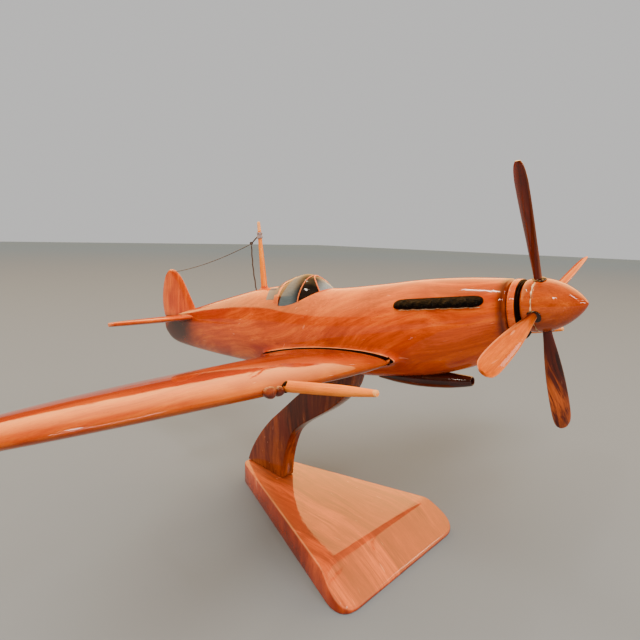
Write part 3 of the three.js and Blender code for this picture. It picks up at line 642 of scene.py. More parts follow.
def make_wing(name, side):
    start, edge, reach = WING_ROOT + 0.3, 0.5, HALF_SPAN - 13.7
    turn = np.minimum(np.arange(96), 96 - np.arange(96)) / 48
    nose = np.exp(-((turn / 0.16) ** 2))[:, None]
    thin = np.clip((1 + np.cos(turn * math.pi)) / 2 / 0.14, 0, 1)[:, None]

    def settled(y, extra=0.0):
        """The section, sunk a little near the root so that the joint shows as a dark line."""
        ease = max(1 - (y - start) / 8, 0) ** 2
        return shrink_section(wing_ring(y, side=side), (ease * (1.5 + 0.2 * nose) + extra) * thin)

    rings = []
    for t in np.linspace(0, math.pi / 2, 6):
        depth = edge * (1 - math.cos(t))
        rings.append(settled(start + depth, rounding(depth, edge)))
    spans = [*np.linspace(start + 0.8, start + 7, 12), *np.linspace(start + 8, reach, 84)]
    tip = [reach + 11.7 * math.sin(t) for t in np.linspace(0.08, math.pi / 2, 16)]
    rings += [settled(y) for y in [*spans, *tip]]
    points, faces = skin(rings)
    x, y, z = points[:, 0], np.abs(points[:, 1]), points[:, 2]
    grain = np.stack([points[:, 1] + 0.12 * x, x + 40.0 * side - 0.08 * y + 3 * np.sin(y / 37), z], 1)
    fronts = np.array([wing_chord(v)[0] for v in y])
    back = np.clip((fronts - x) / np.array([wing_chord(v)[0] - wing_chord(v)[1] for v in y]), 0, 1)
    # Painted shade: darker along the leading edge, next to the root joint, towards the trailing edge and
    # near the root.
    edge_shade = np.clip(1 - (fronts - x) / 8, 0, 1) ** 0.7 * 0.55
    aft_and_root_shade = np.clip((back - 0.1) / 0.24, 0, 1) * 0.75 + np.clip(1 - (y - WING_ROOT) / 64, 0, 1) * 0.7
    piece(f"wing_panel_{name}", points, faces, WING, grain=grain,
          stain=np.maximum.reduce([edge_shade, near(y, WING_ROOT, 1.6) * 0.5, aft_and_root_shade]),
          nodes=[f"wing_{name}"])


def make_root_fairing(name, side):
    """The fuselage's own concave flare round the wing root, with a rounded lip at the seam."""
    outline = wing_ring(WING_ROOT, 240)
    out = outward(outline)[:, [0, 2]]
    reach = 4.2
    turn = np.minimum(np.arange(240), 240 - np.arange(240)) / 120
    thin = np.clip((1 + np.cos(turn * math.pi)) / 2 / 0.14, 0, 1)
    rows = [[] for _ in range(19)]
    for p, n, share in zip(outline, out, thin):
        hull = lambda d: side_at(p[0] + n[0] * d, p[2] + n[1] * d)
        base, far = hull(0.0), hull(reach)
        lip = SEAM_Y - 0.1
        start = min(lip - 0.35, base + reach)
        path = [(-1.4, lip - 1.8), (-1.2, lip - 1.1), (-0.7, lip - 0.5)]
        path += [(-0.35 + 0.35 * math.sin(a), lip - 0.35 + 0.35 * math.cos(a))
                 for a in (-0.5, 0.2, 0.8, 1.57)]
        for t in np.linspace(0.05, 1, 12):
            d = t * t * reach
            y = (1 - t) ** 2 * start + 2 * t * (1 - t) * base + t * t * far
            path.append((d, y - 0.06 * t**6))
        for row, (d, y) in zip(rows, path):
            d = d * share if d < 0 else d
            row.append((p[0] + n[0] * d, side * y, p[2] + n[1] * d))
    points, faces = skin([np.array(r) for r in rows], capped=(False, False))
    # edge darkens the rows that turn down into the joint gap: painted shade. worn lightens the rounded
    # lip: a painted highlight.
    edge = np.concatenate([np.full(len(outline), v) for v in (1, 1, 1, 1, 0.5, 0, *[0] * 13)])
    worn = np.concatenate([np.full(len(outline), v) for v in (0, 0, 0, 0, 0.2, 0.5, 0.6, 0.3, *[0] * 11)])
    piece(f"root_fairing_{name}", points, faces, BODY, grain=body_grain(points),
          stain=np.maximum(edge, body_painted_shade(points)), painted_sheen=worn)
    # A near-black sheet set deep in the joint gap: painted shade.
    inner = [shrink_section(wing_ring(WING_ROOT, 240), a * thin[:, None]) for a in (0.12, 0.12, 3.2)]
    for ring, out in zip(inner, (-1.4, 0.0, 0.15)):
        ring[:, 1] = side * (SEAM_Y + out)
    points, faces = skin(inner, capped=(False, False))
    piece(f"root_seam_{name}", points, faces, SHADE_AND_GLUE_BLACK)


# ---------------------------------------------------------------- tail
TAIL_ROOT, TAIL_HALF, TAIL_Z, TAIL_THICK = 3.6, 51.5, -0.6, 4.6
TAIL_FRONT, TAIL_TIP, TAIL_REAR = -231, -259, -272.5
FIN_THICK = 5.4
FIN_EDGES = [(1.5, -237.4, -284.4), (5, -238.8, -285.2), (10, -241.4, -285.8), (16, -245.2, -285.2),
             (22, -249, -283.4), (27, -252.6, -281), (31.5, -257, -277.6), (34.6, -261.8, -273.2),
             (36, -266, -269)]


def flat_section(front, rear, thick, around=48):
    """A thin rounded section as rows of x and the offset from its middle: round nose, thin rear."""
    angle = np.linspace(0, 2 * math.pi, around, endpoint=False)
    x = (front + rear) / 2 + (front - rear) / 2 * np.cos(angle)
    return np.stack([x, thick / 2 * np.sign(np.sin(angle)) * np.abs(np.sin(angle)) ** 0.8], 1)


def make_tailplane(name, side):
    rings = []
    middle = TAIL_REAR + 6
    for s in [*np.linspace(0, 0.9, 26), 0.925, 0.945, 0.96, 0.972, 0.982, 0.989, 0.994]:
        y = TAIL_ROOT + s * (TAIL_HALF - TAIL_ROOT)
        full = math.sqrt(1 - s**4)
        swept = TAIL_FRONT + (TAIL_TIP - TAIL_FRONT) * s
        front, rear = middle + (swept - middle) * full, middle + (TAIL_REAR - middle) * full
        section = flat_section(front, rear, TAIL_THICK * (1 - 0.2 * s) * (0.6 + 0.4 * full))
        level = np.full(len(section), side * y)
        rings.append(np.stack([section[:, 0], level, TAIL_Z + section[:, 1]], 1))
    points, faces = skin(rings)
    # Paler at the rounded tip: a painted highlight.
    tip = np.clip((np.abs(points[:, 1]) - TAIL_HALF + 2.5) / 2.5, 0, 1) * 0.5
    piece(f"tailplane_panel_{name}", points, faces, WING, grain=points[:, [1, 0, 2]],
          painted_sheen=tip, nodes=[f"tailplane_{name}"])


def make_fin():
    fronts, rears = [(h, f) for h, f, _ in FIN_EDGES], [(h, r) for h, _, r in FIN_EDGES]
    rings = []
    for h in [*np.linspace(1.5, 33, 34), 34, 34.7, 35.2, 35.6, 35.85, 36.0]:
        thick = FIN_THICK * (1 - 0.6 * (h - 1.5) / 34.5)
        if h > 34:
            thick *= math.sqrt(max(1 - ((h - 34) / 2.1) ** 2, 0.05))
        section = flat_section(along(fronts, h), along(rears, h), thick)
        rings.append(np.stack([section[:, 0], section[:, 1], np.full(len(section), h)], 1))
    points, faces = skin(rings)
    # Darker at the foot, in the corner against the fuselage: painted shade.
    low = np.clip(1 - (points[:, 2] - 1.5) / 3, 0, 1) * 0.4
    piece("fin_and_rudder_panel", points, faces, BODY, grain=points[:, [2, 0, 1]],
          stain=low, nodes=["fin_and_rudder"])


make_hull()
make_nose_ring()
make_fin()
for side_name, side_sign in SIDES:
    make_wing(side_name, side_sign)
    make_root_fairing(side_name, side_sign)
    make_tailplane(side_name, side_sign)

# ---------------------------------------------------------------- canopy
HOOD_TOP = [(-100.8, 11.4), (-104, 13.6), (-108, 16.2), (-113, 18.9), (-118.5, 20.6), (-125, 20.3),
            (-131, 19.1), (-137.5, 17.3)]
HOOD_SIDE = [(-100.8, 1.8), (-104, 4.8), (-108, 7.2), (-113, 9.2), (-118.5, 10.6), (-125, 11.4),
             (-131, 11.6), (-137.5, 11.2)]
HOOD_FLOOR = 2.0
# lines drawn over the canopy as pairs of height angle in degrees (0 at the foot, 90 at the top) and x
POST_LINE = [(90, -113.9), (75, -112.2), (60, -109.6), (35, -106.2), (0, -103.6)]
ARCH_LINE = [(90, -114.0), (72, -114.6), (40, -116.2), (11, -118.2), (0, -118.8)]
BACK_LINE = [(90, -122.5), (65, -124.5), (53, -126.3), (38, -127.9), (30, -129.5), (19, -131.1),
             (7, -132.4), (0, -132.8)]
QUARTER_LINE = [(90, -132.0), (64, -132.6), (50, -133.6), (30, -134.2), (14, -134.6), (0, -134.8)]
STRIP_LINE = [(90, -128.6), (52, -130.8), (38, -131.8), (29, -132.4), (19, -132.8), (8, -133.2),
              (0, -133.5)]


def hood_point(x, angle, proud=0.0):
    """A point on the canopy at station x, with the angle in radians from port foot to starboard foot."""
    inside = min(max(x, -137.5), -100.8)
    top, side = along(HOOD_TOP, inside) + proud, along(HOOD_SIDE, inside) + proud
    lift = math.sin(min(max(angle, 0.0), math.pi)) ** 0.85
    return (x, side * math.cos(angle), HOOD_FLOOR + (top - HOOD_FLOOR) * lift)


def on_line(line, angle):
    return along(line, 90 - abs(90 - math.degrees(angle)))


def hood_patch(name, front, rear, material, node=None, proud=0.0, rows=14, rear_cap=False,
               span=(0.0, math.pi)):
    """One painted field of the canopy, between two lines across it."""
    angles = np.linspace(*span, 97)
    rings = []
    for u in np.linspace(0, 1, rows):
        ring = []
        for a in angles:
            x0 = front if isinstance(front, float) else on_line(front, a)
            x1 = rear if isinstance(rear, float) else on_line(rear, a)
            ring.append(hood_point(x0 + (x1 - x0) * u, a, proud))
        rings.append(np.array(ring))
    if rear_cap:
        for shrink in (0.3, 0.7):
            ring = inset(rings[rows - 1], shrink)
            ring[:, 0] -= 0.15 * (1 + (shrink > 0.5))
            rings.append(ring)
    points, faces = skin(rings, closed=False, capped=(False, rear_cap))
    return piece(name, points, faces, material, nodes=[node] if node else ())


def hood_line(name, places, radius, material, proud=0.05):
    """A thin strip of bare wood along (x, angle) places on the canopy."""
    points = [hood_point(x, a, proud) for x, a in places]
    (points, faces), grain = round_bar(points, [radius] * len(points), 10)
    return piece(name, points, faces, material, grain=grain)


def make_canopy():
    # Grey on the front pane, the hood glass and the quarter fields is a painted reflection; the dark band
    # behind the hood is painted shade.
    hood_patch("windscreen_front_pane", -100.8, POST_LINE, PANE_PAINT_AND_REFLECTION, "windscreen")
    hood_patch("windscreen_side_panes", POST_LINE, ARCH_LINE, BLACK)
    hood_patch("hood_glass", ARCH_LINE, BACK_LINE, HOOD_PAINT_AND_REFLECTION, "canopy_hood", rows=26)
    hood_patch("hood_back", BACK_LINE, STRIP_LINE, CRESCENT_SHADE)
    hood_patch("hood_rear_strip", STRIP_LINE, -137.3, LIP, rear_cap=True)
    angles = np.linspace(0, math.pi, 121)
    hood_line("hood_arch", [(on_line(ARCH_LINE, a), a) for a in angles], 0.33, LIP)
    hood_line("windscreen_foot", [(-101.3 - 2.2 * abs(math.cos(a)) ** 3, a) for a in angles], 0.3, LIP)
    for name, side in SIDES:
        quarter = np.linspace(0.02, math.pi / 2, 60)
        turn = [math.pi - a if side < 0 else a for a in quarter]
        hood_line(f"windscreen_post_{name}", [(on_line(POST_LINE, a), a) for a in turn], 0.33, LIP)
        low, high = math.radians(31), math.radians(64)
        span = (math.pi - high, math.pi - low) if side < 0 else (low, high)
        hood_patch(f"hood_quarter_{name}", QUARTER_LINE, -137.25, QUARTER_PAINT_AND_REFLECTION,
                   proud=0.07, span=span)


def make_quarter_patch(name, side):
    """A painted rear window field on the fuselage shoulder behind the canopy; its grey is a painted
    reflection.
    """
    rings = []
    for u in np.linspace(0, 1, 22):
        ring = []
        for v in np.linspace(0, 1, 30):
            front, rear = -137.2 - 0.5 * v, -145.0 - 2.0 * v
            x = front + (rear - front) * u
            angle = math.radians(45 + 30 * v)
            top, _, wide, waist = section_at(x)
            lift = 0.09
            ring.append((x, side * (wide + lift) * math.cos(angle),
                         waist + (top - waist + lift) * math.sin(angle)))
        rings.append(np.array(ring))
    points, faces = skin(rings, closed=False, capped=(False, False))
    piece(f"quarter_window_{name}", points, faces, QUARTER_PAINT_AND_REFLECTION)


# ---------------------------------------------------------------- exhausts and intake
EXHAUST = {"front": -17.0, "rear": -56.4, "z": 2.9, "height": 4.4, "depth": 2.2, "lumps": 7}


def make_exhaust(name, side):
    """A row of stub pipes as one lumpy strip, each lump leaning back over the next."""
    front, rear = EXHAUST["front"], EXHAUST["rear"]
    around, steps = 44, 240
    rng = np.random.default_rng(11)
    dents = [tuple(rng.uniform(*span) for span in ((0, 1), (-1.3, 1.3), (0.012, 0.03), (-0.22, 0.3)))
             for _ in range(70)]
    rings = []
    for i in range(steps + 1):
        t = i / steps
        x = front + (rear - front) * t
        ends = math.sqrt(max(1 - (2 * t - 1) ** 12, 0.02))
        ring = []
        for j in range(around):
            angle = 2 * math.pi * j / around
            bearing = angle if angle < math.pi else angle - 2 * math.pi
            lean = t * EXHAUST["lumps"] + 0.22 * math.sin(angle)
            lump = 0.78 + 0.22 * abs(math.sin(math.pi * lean)) ** 0.7
            low = 1.0 if math.sin(angle) > 0 else 0.86 + 0.14 * abs(math.sin(math.pi * lean)) ** 0.6
            bump = 0.0
            for place, where, size, tall in dents:
                reach = ((t - place) / size) ** 2 + (bearing - where) ** 2 * 6
                if reach < 9:
                    bump += tall * math.exp(-reach)
            z = EXHAUST["z"] + EXHAUST["height"] / 2 * ends * low * math.sin(angle)
            out = max(math.cos(angle), -0.12)
            proud = EXHAUST["depth"] * lump * ends * out + (bump if out > 0.15 else 0)
            ring.append((x, side * (side_at(x, z) - 0.05 + min(proud, 2.2)), z))
        rings.append(np.array(ring))
    points, faces = skin(rings)
    piece(f"exhaust_stack_{name}", points, faces, TAR, nodes=[f"exhaust_{name}"])
    beads = []
    for k in range(26):
        t = 0.05 + 0.9 * (k + 0.4 * math.sin(5 * k)) / 26
        x = front + (rear - front) * t
        lean = t * EXHAUST["lumps"] - 0.22
        low = 0.86 + 0.14 * abs(math.sin(math.pi * lean)) ** 0.6
        z = EXHAUST["z"] - EXHAUST["height"] / 2 * low - 0.12
        beads.append((x, side * (side_at(x, z) + 0.04), z, 0.16 + 0.14 * abs(math.sin(3.1 * k))))
    pieces = []
    for x, y, z, r in beads:
        line = [(x + step, y, z) for step in (1.0, 0.5, 0.0, -0.5, -1.0)]
        pieces.append(round_bar(line, [r * 0.2, r * 0.8, r, r * 0.8, r * 0.2], 8)[0])
    points, faces = gather(*pieces)
    piece(f"exhaust_glue_{name}", points, faces, GLUE)


SCOOP = [(-28.6, -30, 2.1, 2), (-33, -30.2, 2.9, 2.6), (-40, -30.4, 3.9, 3.3), (-52, -30.4, 4.8, 3.7),
         (-64, -30.2, 4.2, 3.2), (-75, -29.8, 2.2, 2.2)]


def make_scoop():
    """The carved intake under the nose, with a bored mouth."""
    wide = [(x, w) for x, _, w, _ in SCOOP]
    tall = [(x, h) for x, _, _, h in SCOOP]
    axis = [(x, z) for x, z, _, _ in SCOOP]
    angle = np.linspace(0, 2 * math.pi, 56, endpoint=False)

    def ring(x, width, height, z):
        return np.stack([np.full(56, x), width * np.cos(angle), z + height * np.sin(angle)], 1)

    front, mouth = SCOOP[0][0], 1.35
    z0 = along(axis, front)
    rings = [ring(front - 9, 0.01, 0.01, z0), ring(front - 9, mouth, mouth, z0),
             ring(front - 0.5, mouth, mouth, z0)]
    for a in np.linspace(0.2, math.pi / 2, 5):
        lip = mouth + 0.25 * (1 - math.cos(a))
        rings.append(ring(front - 0.25 + 0.25 * math.sin(a), lip, lip, z0))
    for a in np.linspace(0.1, math.pi / 2, 8):
        grow = 0.5 * (1 - math.sin(a))
        rings.append(ring(front - 0.5 * (1 - math.cos(a)), along(wide, front) - grow,
                          along(tall, front) - grow, z0))
    for x in np.linspace(front - 0.9, -75, 60):
        rings.append(ring(x, along(wide, x), along(tall, x), along(axis, x)))
    for d in (0.3, 0.6, 0.85, 0.97):
        drop = 2.2 - math.sqrt(max(2.2**2 - (d * 2.2 / 1.0) ** 2, 0.01))
        rings.append(inset(ring(-75.0 - d, 2.2, 2.2, -29.8), drop))
    points, faces = skin(rings, capped=(False, True))
    piece("intake_scoop_body", points, faces, MAROON, nodes=["intake_scoop"])


# ---------------------------------------------------------------- guns
def blob(centre, size, seed, lumps=5):
    """Points and faces of a small smooth bead with a few soft lumps."""
    work = bmesh.new()
    bmesh.ops.create_icosphere(work, subdivisions=4, radius=1.0)
    rng = np.random.default_rng(seed)
    poles = rng.normal(size=(lumps, 3))
    poles /= np.linalg.norm(poles, axis=1, keepdims=True)
    points = np.array([v.co for v in work.verts])
    grow = 1 + sum(0.14 * np.exp(-4 * (1 - points @ p)) for p in poles) - 0.12
    faces = [tuple(v.index for v in f.verts) for f in work.faces]
    work.free()
    return np.asarray(centre) + points * grow[:, None] * np.asarray(size), faces


def make_cannon(name, side):
    y = side * 75.0
    tip, shoulder = (-17.6, -17.6), (-55.6, -19.0)
    points, radii = [], []
    for t in np.linspace(0, 1, 60):
        points.append((shoulder[0] + (tip[0] - shoulder[0]) * t, y,
                       shoulder[1] + (tip[1] - shoulder[1]) * t))
        taper = 2.0 - 0.25 * t / 0.62 if t < 0.62 else 1.75 - 0.8 * ((t - 0.62) / 0.38) ** 1.15
        radii.append(taper - rounding(t * 38, 0.3) - rounding((1 - t) * 38, 0.3))
    (p, f), grain = round_bar(points, radii, 36)
    # Darker over the first millimetres at the root, where it meets the wing: painted shade.
    piece(f"cannon_barrel_{name}", p, f, TAN, grain=grain,
          stain=np.clip(1 - grain[:, 0] / 1.6, 0, 1) * 0.9, nodes=[f"cannon_{name}"])
    tip_points = [(x, y, -17.6) for x in (-19.0, -18.6, -18.0, -17.7, -17.62, -17.6)]
    (p, f), grain = round_bar(tip_points, [0.96, 1.0, 1.0, 0.93, 0.8, 0.5], 28)
    piece(f"cannon_tip_{name}", p, f, CREAM, grain=grain)
    points, faces = gather(blob((-55.7, y, -19.1), (0.9, 2.15, 2.1), 3),
                           blob((-54.6, y + side * 1.0, -18.2), (1.2, 1.0, 1.1), 4))
    piece(f"cannon_root_glue_{name}", points, faces, SHADE_AND_GLUE_BLACK)


def make_gun_stub(name, side):
    height = wing_chord(82.0)[3]
    centre = np.array([-55.4, side * 82.6, height])
    points, faces = blob(centre, (2.2, 2.1, 2.1), 21, 7)
    piece(f"gun_stub_bead_{name}", points, faces, BEAD, nodes=[f"gun_stub_{name}"])
    points, faces = gather(blob(centre + (-0.1, side * -4.0, -0.3), (2.0, 1.8, 1.7), 22, 6),
                           blob(centre + (-0.5, side * -6.0, -0.1), (1.1, 0.8, 0.9), 23, 6))
    piece(f"gun_stub_glue_{name}", points, faces, BEAD)


# ---------------------------------------------------------------- mast and aerial
MAST_X, MAST_FOOT, MAST_TOP, MAST_R0, MAST_R1 = -157.6, 6.0, 54.4, 2.1, 0.85
TIE_Z, WIRE_SAG = 46.3, 2.2
KNOT = np.array([-166.2, 0, 42.6])
WIRE_END = np.array([-263.4, 0, 33.7])
LEAD_IN = [(-166.4, 41.3), (-166.8, 34), (-166.7, 26), (-166, 19), (-165.3, 11.4)]


def mast_radius(z):
    return MAST_R0 + (MAST_R1 - MAST_R0) * (z - MAST_FOOT) / (MAST_TOP - MAST_FOOT)


def make_mast():
    heights = [*np.linspace(MAST_FOOT, MAST_TOP - 0.6, 50), MAST_TOP - 0.35, MAST_TOP - 0.15,
               MAST_TOP - 0.03]
    radii = [mast_radius(z) - rounding(MAST_TOP - z, 0.6) for z in heights]
    (p, f), grain = round_bar([(MAST_X, 0, z) for z in heights], radii, 30)
    mast = piece("radio_mast_stick", p, f, MAST_WOOD, grain=grain, nodes=["radio_mast"])
    mast.data.materials.append(CREAM)
    for face in mast.data.polygons:
        centre = np.mean([p[i] for i in face.vertices], 0)
        if centre[2] > 48.5:
            face.material_index = 1
    (p, f), grain = round_bar([(MAST_X, 0, z) for z in (14.2, 14.8, 15.3, 15.9, 16.6)],
                              [3.3, 2.9, 2.5, 2.2, 2.0], 30)
    piece("mast_foot_flare", p, f, BODY, grain=p)


def twine(name, points, radius, material, node=None, sides=10):
    (p, f), grain = round_bar(points, [radius] * len(points), sides)
    piece(name, p, f, material, grain=grain / (2 * radius), nodes=[node] if node else ())


def make_aerial():
    turns, winding = 7.5, []
    for t in np.linspace(0, 1, 240):
        z = TIE_Z - 1.7 + 3.4 * t
        angle = 2 * math.pi * turns * t + math.pi
        reach = mast_radius(z) + 0.26 + 0.1 * math.sin(9 * t)
        winding.append((MAST_X + reach * math.cos(angle), reach * math.sin(angle),
                        z + 0.12 * math.sin(angle * 2)))
    twine("mast_tie_winding", winding, 0.27, GREY_THREAD, "mast_tie")
    start = np.array([MAST_X - 1.3, 0, TIE_Z])
    for k, lift in enumerate((0.0, 0.5)):
        bridle = []
        for t in np.linspace(0, 1, 24):
            sag = lift * math.sin(math.pi * t) - 0.4 * t * (1 - t)
            bridle.append(start + (KNOT - start) * t + (0, 0.35 * (k - 0.5), sag))
        twine(f"mast_tie_bridle_{k + 1}", bridle, 0.36, DARK_THREAD)
    loop = [KNOT + (0.75 * math.cos(a), 0.4 * math.sin(2 * a), 0.75 * math.sin(a))
            for a in np.linspace(0, 2 * math.pi, 50)]
    twine("mast_tie_knot", loop, 0.42, DARK_THREAD)
    wire = [KNOT + (WIRE_END - KNOT) * t + (0, 0, -4 * WIRE_SAG * t * (1 - t))
            for t in np.linspace(0.004, 1, 160)]
    twine("aerial_wire_thread", wire, 0.24, DARK_THREAD, "aerial_wire")
    line = [(z, x) for x, z in LEAD_IN]
    lead = [(along(line, h), 0.12 * math.sin(h), h) for h in np.linspace(line[0][0], line[-1][0], 90)]
    twine("aerial_lead_in_thread", lead, 0.4, DARK_THREAD, "aerial_lead_in")


# ---------------------------------------------------------------- propeller
TIP, SPIN_R, SEAM_X, PLATE_REAR = 14.9, 9.7, -0.9, -4.8
FIRST_ANGLE, BLADE_WIDTH = math.radians(17.7), 7.4
BLADE = [(7.4, 0.34, 0.3, 62), (10, 0.4, 0.32, 62), (14, 0.5, 0.3, 60), (20, 0.69, 0.27, 56),
         (27, 0.87, 0.24, 51), (34, 0.98, 0.21, 47), (41, 1.02, 0.18, 44), (46.5, 0.97, 0.15, 42),
         (49.6, 0.78, 0.12, 40), (51.1, 0.42, 0.08, 40)]


def make_spinner():
    back = SEAM_X + 0.3
    length = TIP - back
    profile = [(back, SPIN_R - 0.55), (back + 0.08, SPIN_R - 0.22), (back + 0.25, SPIN_R - 0.06)]
    for t in [*np.linspace(0.04, 0.9, 60), 0.93, 0.96, 0.98, 0.992, 0.998]:
        profile.append((back + length * t, SPIN_R * (1 - t**1.8) ** 0.76))
    points, faces = lathe(profile)
    piece("spinner_nose", points, faces, SPIN, "propeller", nodes=["spinner_cone"])
    profile = [(PLATE_REAR + ahead, SPIN_R - drop)
               for ahead, drop in ((0, 1.3), (0.15, 0.8), (0.5, 0.4), (1, 0.15), (2, 0))]
    profile += [(SEAM_X - behind, SPIN_R - drop) for behind, drop in ((0.35, 0), (0.12, 0.1), (0, 0.45))]
    points, faces = lathe(profile)
    piece("spinner_back_disc", points, faces, SPIN, "propeller", nodes=["spinner_plate"])
    rng = np.random.default_rng(5)
    rings = []
    for a in np.linspace(0, 2 * math.pi, 220, endpoint=False):
        fill = 0.5 + 0.5 * math.sin(7 * a + 1.3) * math.sin(13 * a) + rng.uniform(-0.12, 0.12)
        reach = SPIN_R - 0.75 + 0.75 * min(max(fill + 0.25, 0.0), 1.0)
        wide = 0.18 + 0.3 * min(max(fill, 0), 1)
        middle = SEAM_X + 0.15
        section = [(middle + wide * math.cos(b), reach - 0.25 + 0.25 * math.sin(b))
                   for b in np.linspace(0, 2 * math.pi, 9)[:-1]]
        rings.append(np.array([(x, r * math.cos(a), r * math.sin(a)) for x, r in section]))
    points, faces = skin([*rings, rings[0]], capped=(False, False))
    piece("spinner_glue_seam", points, faces, GLUE, "propeller")


def blade_frame(index, points):
    """Turns points of a blade along +Z to the blade's own place round the shaft."""
    angle = FIRST_ANGLE - index * math.pi / 2
    x, y, z = points[:, 0], points[:, 1], points[:, 2]
    c, s = math.cos(angle), math.sin(angle)
    return np.stack([x, y * c - z * s, y * s + z * c], 1)


BLADE_TWIST_TIP, BLADE_TWIST, BLADE_SWELL = (12, 0, 0, 0), (0, 15, 0, 0), 0.16


def make_blade(index, material):
    tables = [[(r, row[k]) for r, *row in BLADE] for k in range(3)]
    rings, grain = [], []
    stops = [*np.linspace(7.4, 49.5, 72), 50, 50.4, 50.7, 50.9, 51.02, 51.1]
    turn = np.linspace(0, 2 * math.pi, 56, endpoint=False)
    for radius in stops:
        width, thick, angle = (along(t, radius) for t in tables)
        half, deep = BLADE_WIDTH * width / 2, BLADE_WIDTH * thick / 2
        across = half * np.cos(turn)
        outer = min(max((radius - 24) / 20, 0), 1)
        deep += BLADE_SWELL * outer
        through = deep * np.sin(turn) * (1 - 0.12 * np.cos(2 * turn))
        a = math.radians(angle + BLADE_TWIST_TIP[index] * outer + BLADE_TWIST[index])
        rings.append(np.stack([through * math.cos(a) - across * math.sin(a),
                               across * math.cos(a) + through * math.sin(a), np.full(56, radius)], 1))
        grain.append(np.stack([np.full(56, radius), across, through], 1))
    points, faces = skin(rings)
    grain = np.concatenate([*grain, grain[0].mean(0)[None], grain[-1].mean(0)[None]])
    half = BLADE_WIDTH / 2 * np.array([along(tables[0], v) for v in grain[:, 0]])
    # edge: a painted highlight along the blade's edges. root and side: painted shade towards the spinner
    # and down one side near the root.
    edge = np.clip((np.abs(grain[:, 1]) / np.maximum(half, 0.1) - 0.86) / 0.14, 0, 1)
    root = np.clip(1 - (grain[:, 0] - 9.5) / 11, 0, 1) * 0.9
    side = np.clip(grain[:, 1] / 2.2, 0, 1) * 0.95 * np.clip(1 - (grain[:, 0] - 14) / 20, 0, 1)
    piece(f"propeller_blade_{index + 1}", blade_frame(index, points), faces, material, "propeller",
          grain=grain, painted_sheen=edge * (0.5 if index in (1, 3) else 0.12), stain=root + side,
          nodes=[f"blade_{index + 1}"])
    parts = [blob((0.3, 0, 9.5), (2.3, 2.0, 0.8), 30 + index, 6),
             blob((-0.9, 0.6, 9.4), (1.5, 1.2, 0.9), 40 + index, 6),
             blob((1.3, -0.8, 9.4), (1.2, 1.3, 0.8), 50 + index, 6)]
    points, faces = gather(*parts)
    piece(f"blade_root_fill_{index + 1}", blade_frame(index, points), faces, FILLER, "propeller")


# ---------------------------------------------------------------- stand
BASE = {"rear": -60.0, "front": 60.0, "ridge": 43.0, "thick": 13.0, "front_thick": 2.2, "rear_half": 8.4,
        "ridge_half": 42.3, "rear_radius": 4.0, "front_radius": 13.0}
ARM_HALF = 4.4
ARM_REAR = [(-60.2, 13.3), (-57.4, 20), (-53, 27.8), (-46, 37.5), (-38, 46.5), (-28.5, 55.4),
            (-18.5, 64.8), (-10, 72.6), (-2, 82), (1, 95)]
ARM_FRONT = [(25.6, 95), (24.6, 86), (21.5, 79), (15, 71.6), (7, 64.8), (-4, 57), (-13, 50.4),
             (-19.5, 43.5), (-23.4, 34), (-25.8, 24), (-26.8, 13.3)]


def bend(a, b, c, count=14):
    t = np.linspace(0, 1, count)[:, None]
    a, b, c = np.array(a), np.array(b), np.array(c)
    return [tuple(p) for p in (1 - t) ** 2 * a + 2 * t * (1 - t) * b + t**2 * c]


def base_outline():
    rear, front, half = BASE["rear"], BASE["front"], BASE["rear_half"]
    flare = (BASE["ridge_half"] - half) / (BASE["ridge"] - rear)
    wide = half + flare * (front - rear)
    r1, r2 = BASE["rear_radius"], BASE["front_radius"]
    left = bend((rear, half - r1), (rear, half), (rear + r1, half + flare * r1))
    left += bend((front - r2, wide - flare * r2), (front, wide), (front, wide - r2))
    return left + [(x, -y) for x, y in reversed(left)]


def store_shade_and_sheen(made, share, worn=None):
    """Stores how far each point of a finished piece is darkened by painted shade, and lightened by a
    painted highlight, from its place.
    """
    places = np.array([v.co for v in made.data.vertices]) / MM
    store(made.data, "stain", share(places))
    store(made.data, "painted_sheen", worn(places) if worn else np.zeros(len(places)))


def bevel(made, width, segments, angle):
    modifier = made.modifiers.new("edge", "BEVEL")
    modifier.width, modifier.segments = width * MM, segments
    modifier.limit_method, modifier.angle_limit = "ANGLE", math.radians(angle)
    modifier.use_clamp_overlap = True
    settle(made)


def settle(made):
    """Applies a piece's modifiers to its mesh."""
    graph = bpy.context.evaluated_depsgraph_get()
    fresh = bpy.data.meshes.new_from_object(made.evaluated_get(graph))
    old, made.data = made.data, fresh
    made.modifiers.clear()
    bpy.data.meshes.remove(old)
    fresh.shade_smooth()
    fresh.set_sharp_from_angle(angle=math.radians(35))


def base_height(x):
    """Top of the base at x: level, then falling to the front over a softened ridge."""
    drop = (BASE["thick"] - BASE["front_thick"]) / (BASE["front"] - BASE["ridge"])
    over, soft = x - BASE["ridge"], 2.4
    if over > soft:
        return BASE["thick"] - drop * over
    if over < -soft:
        return BASE["thick"]
    return BASE["thick"] - drop * (over + soft) ** 2 / (4 * soft)


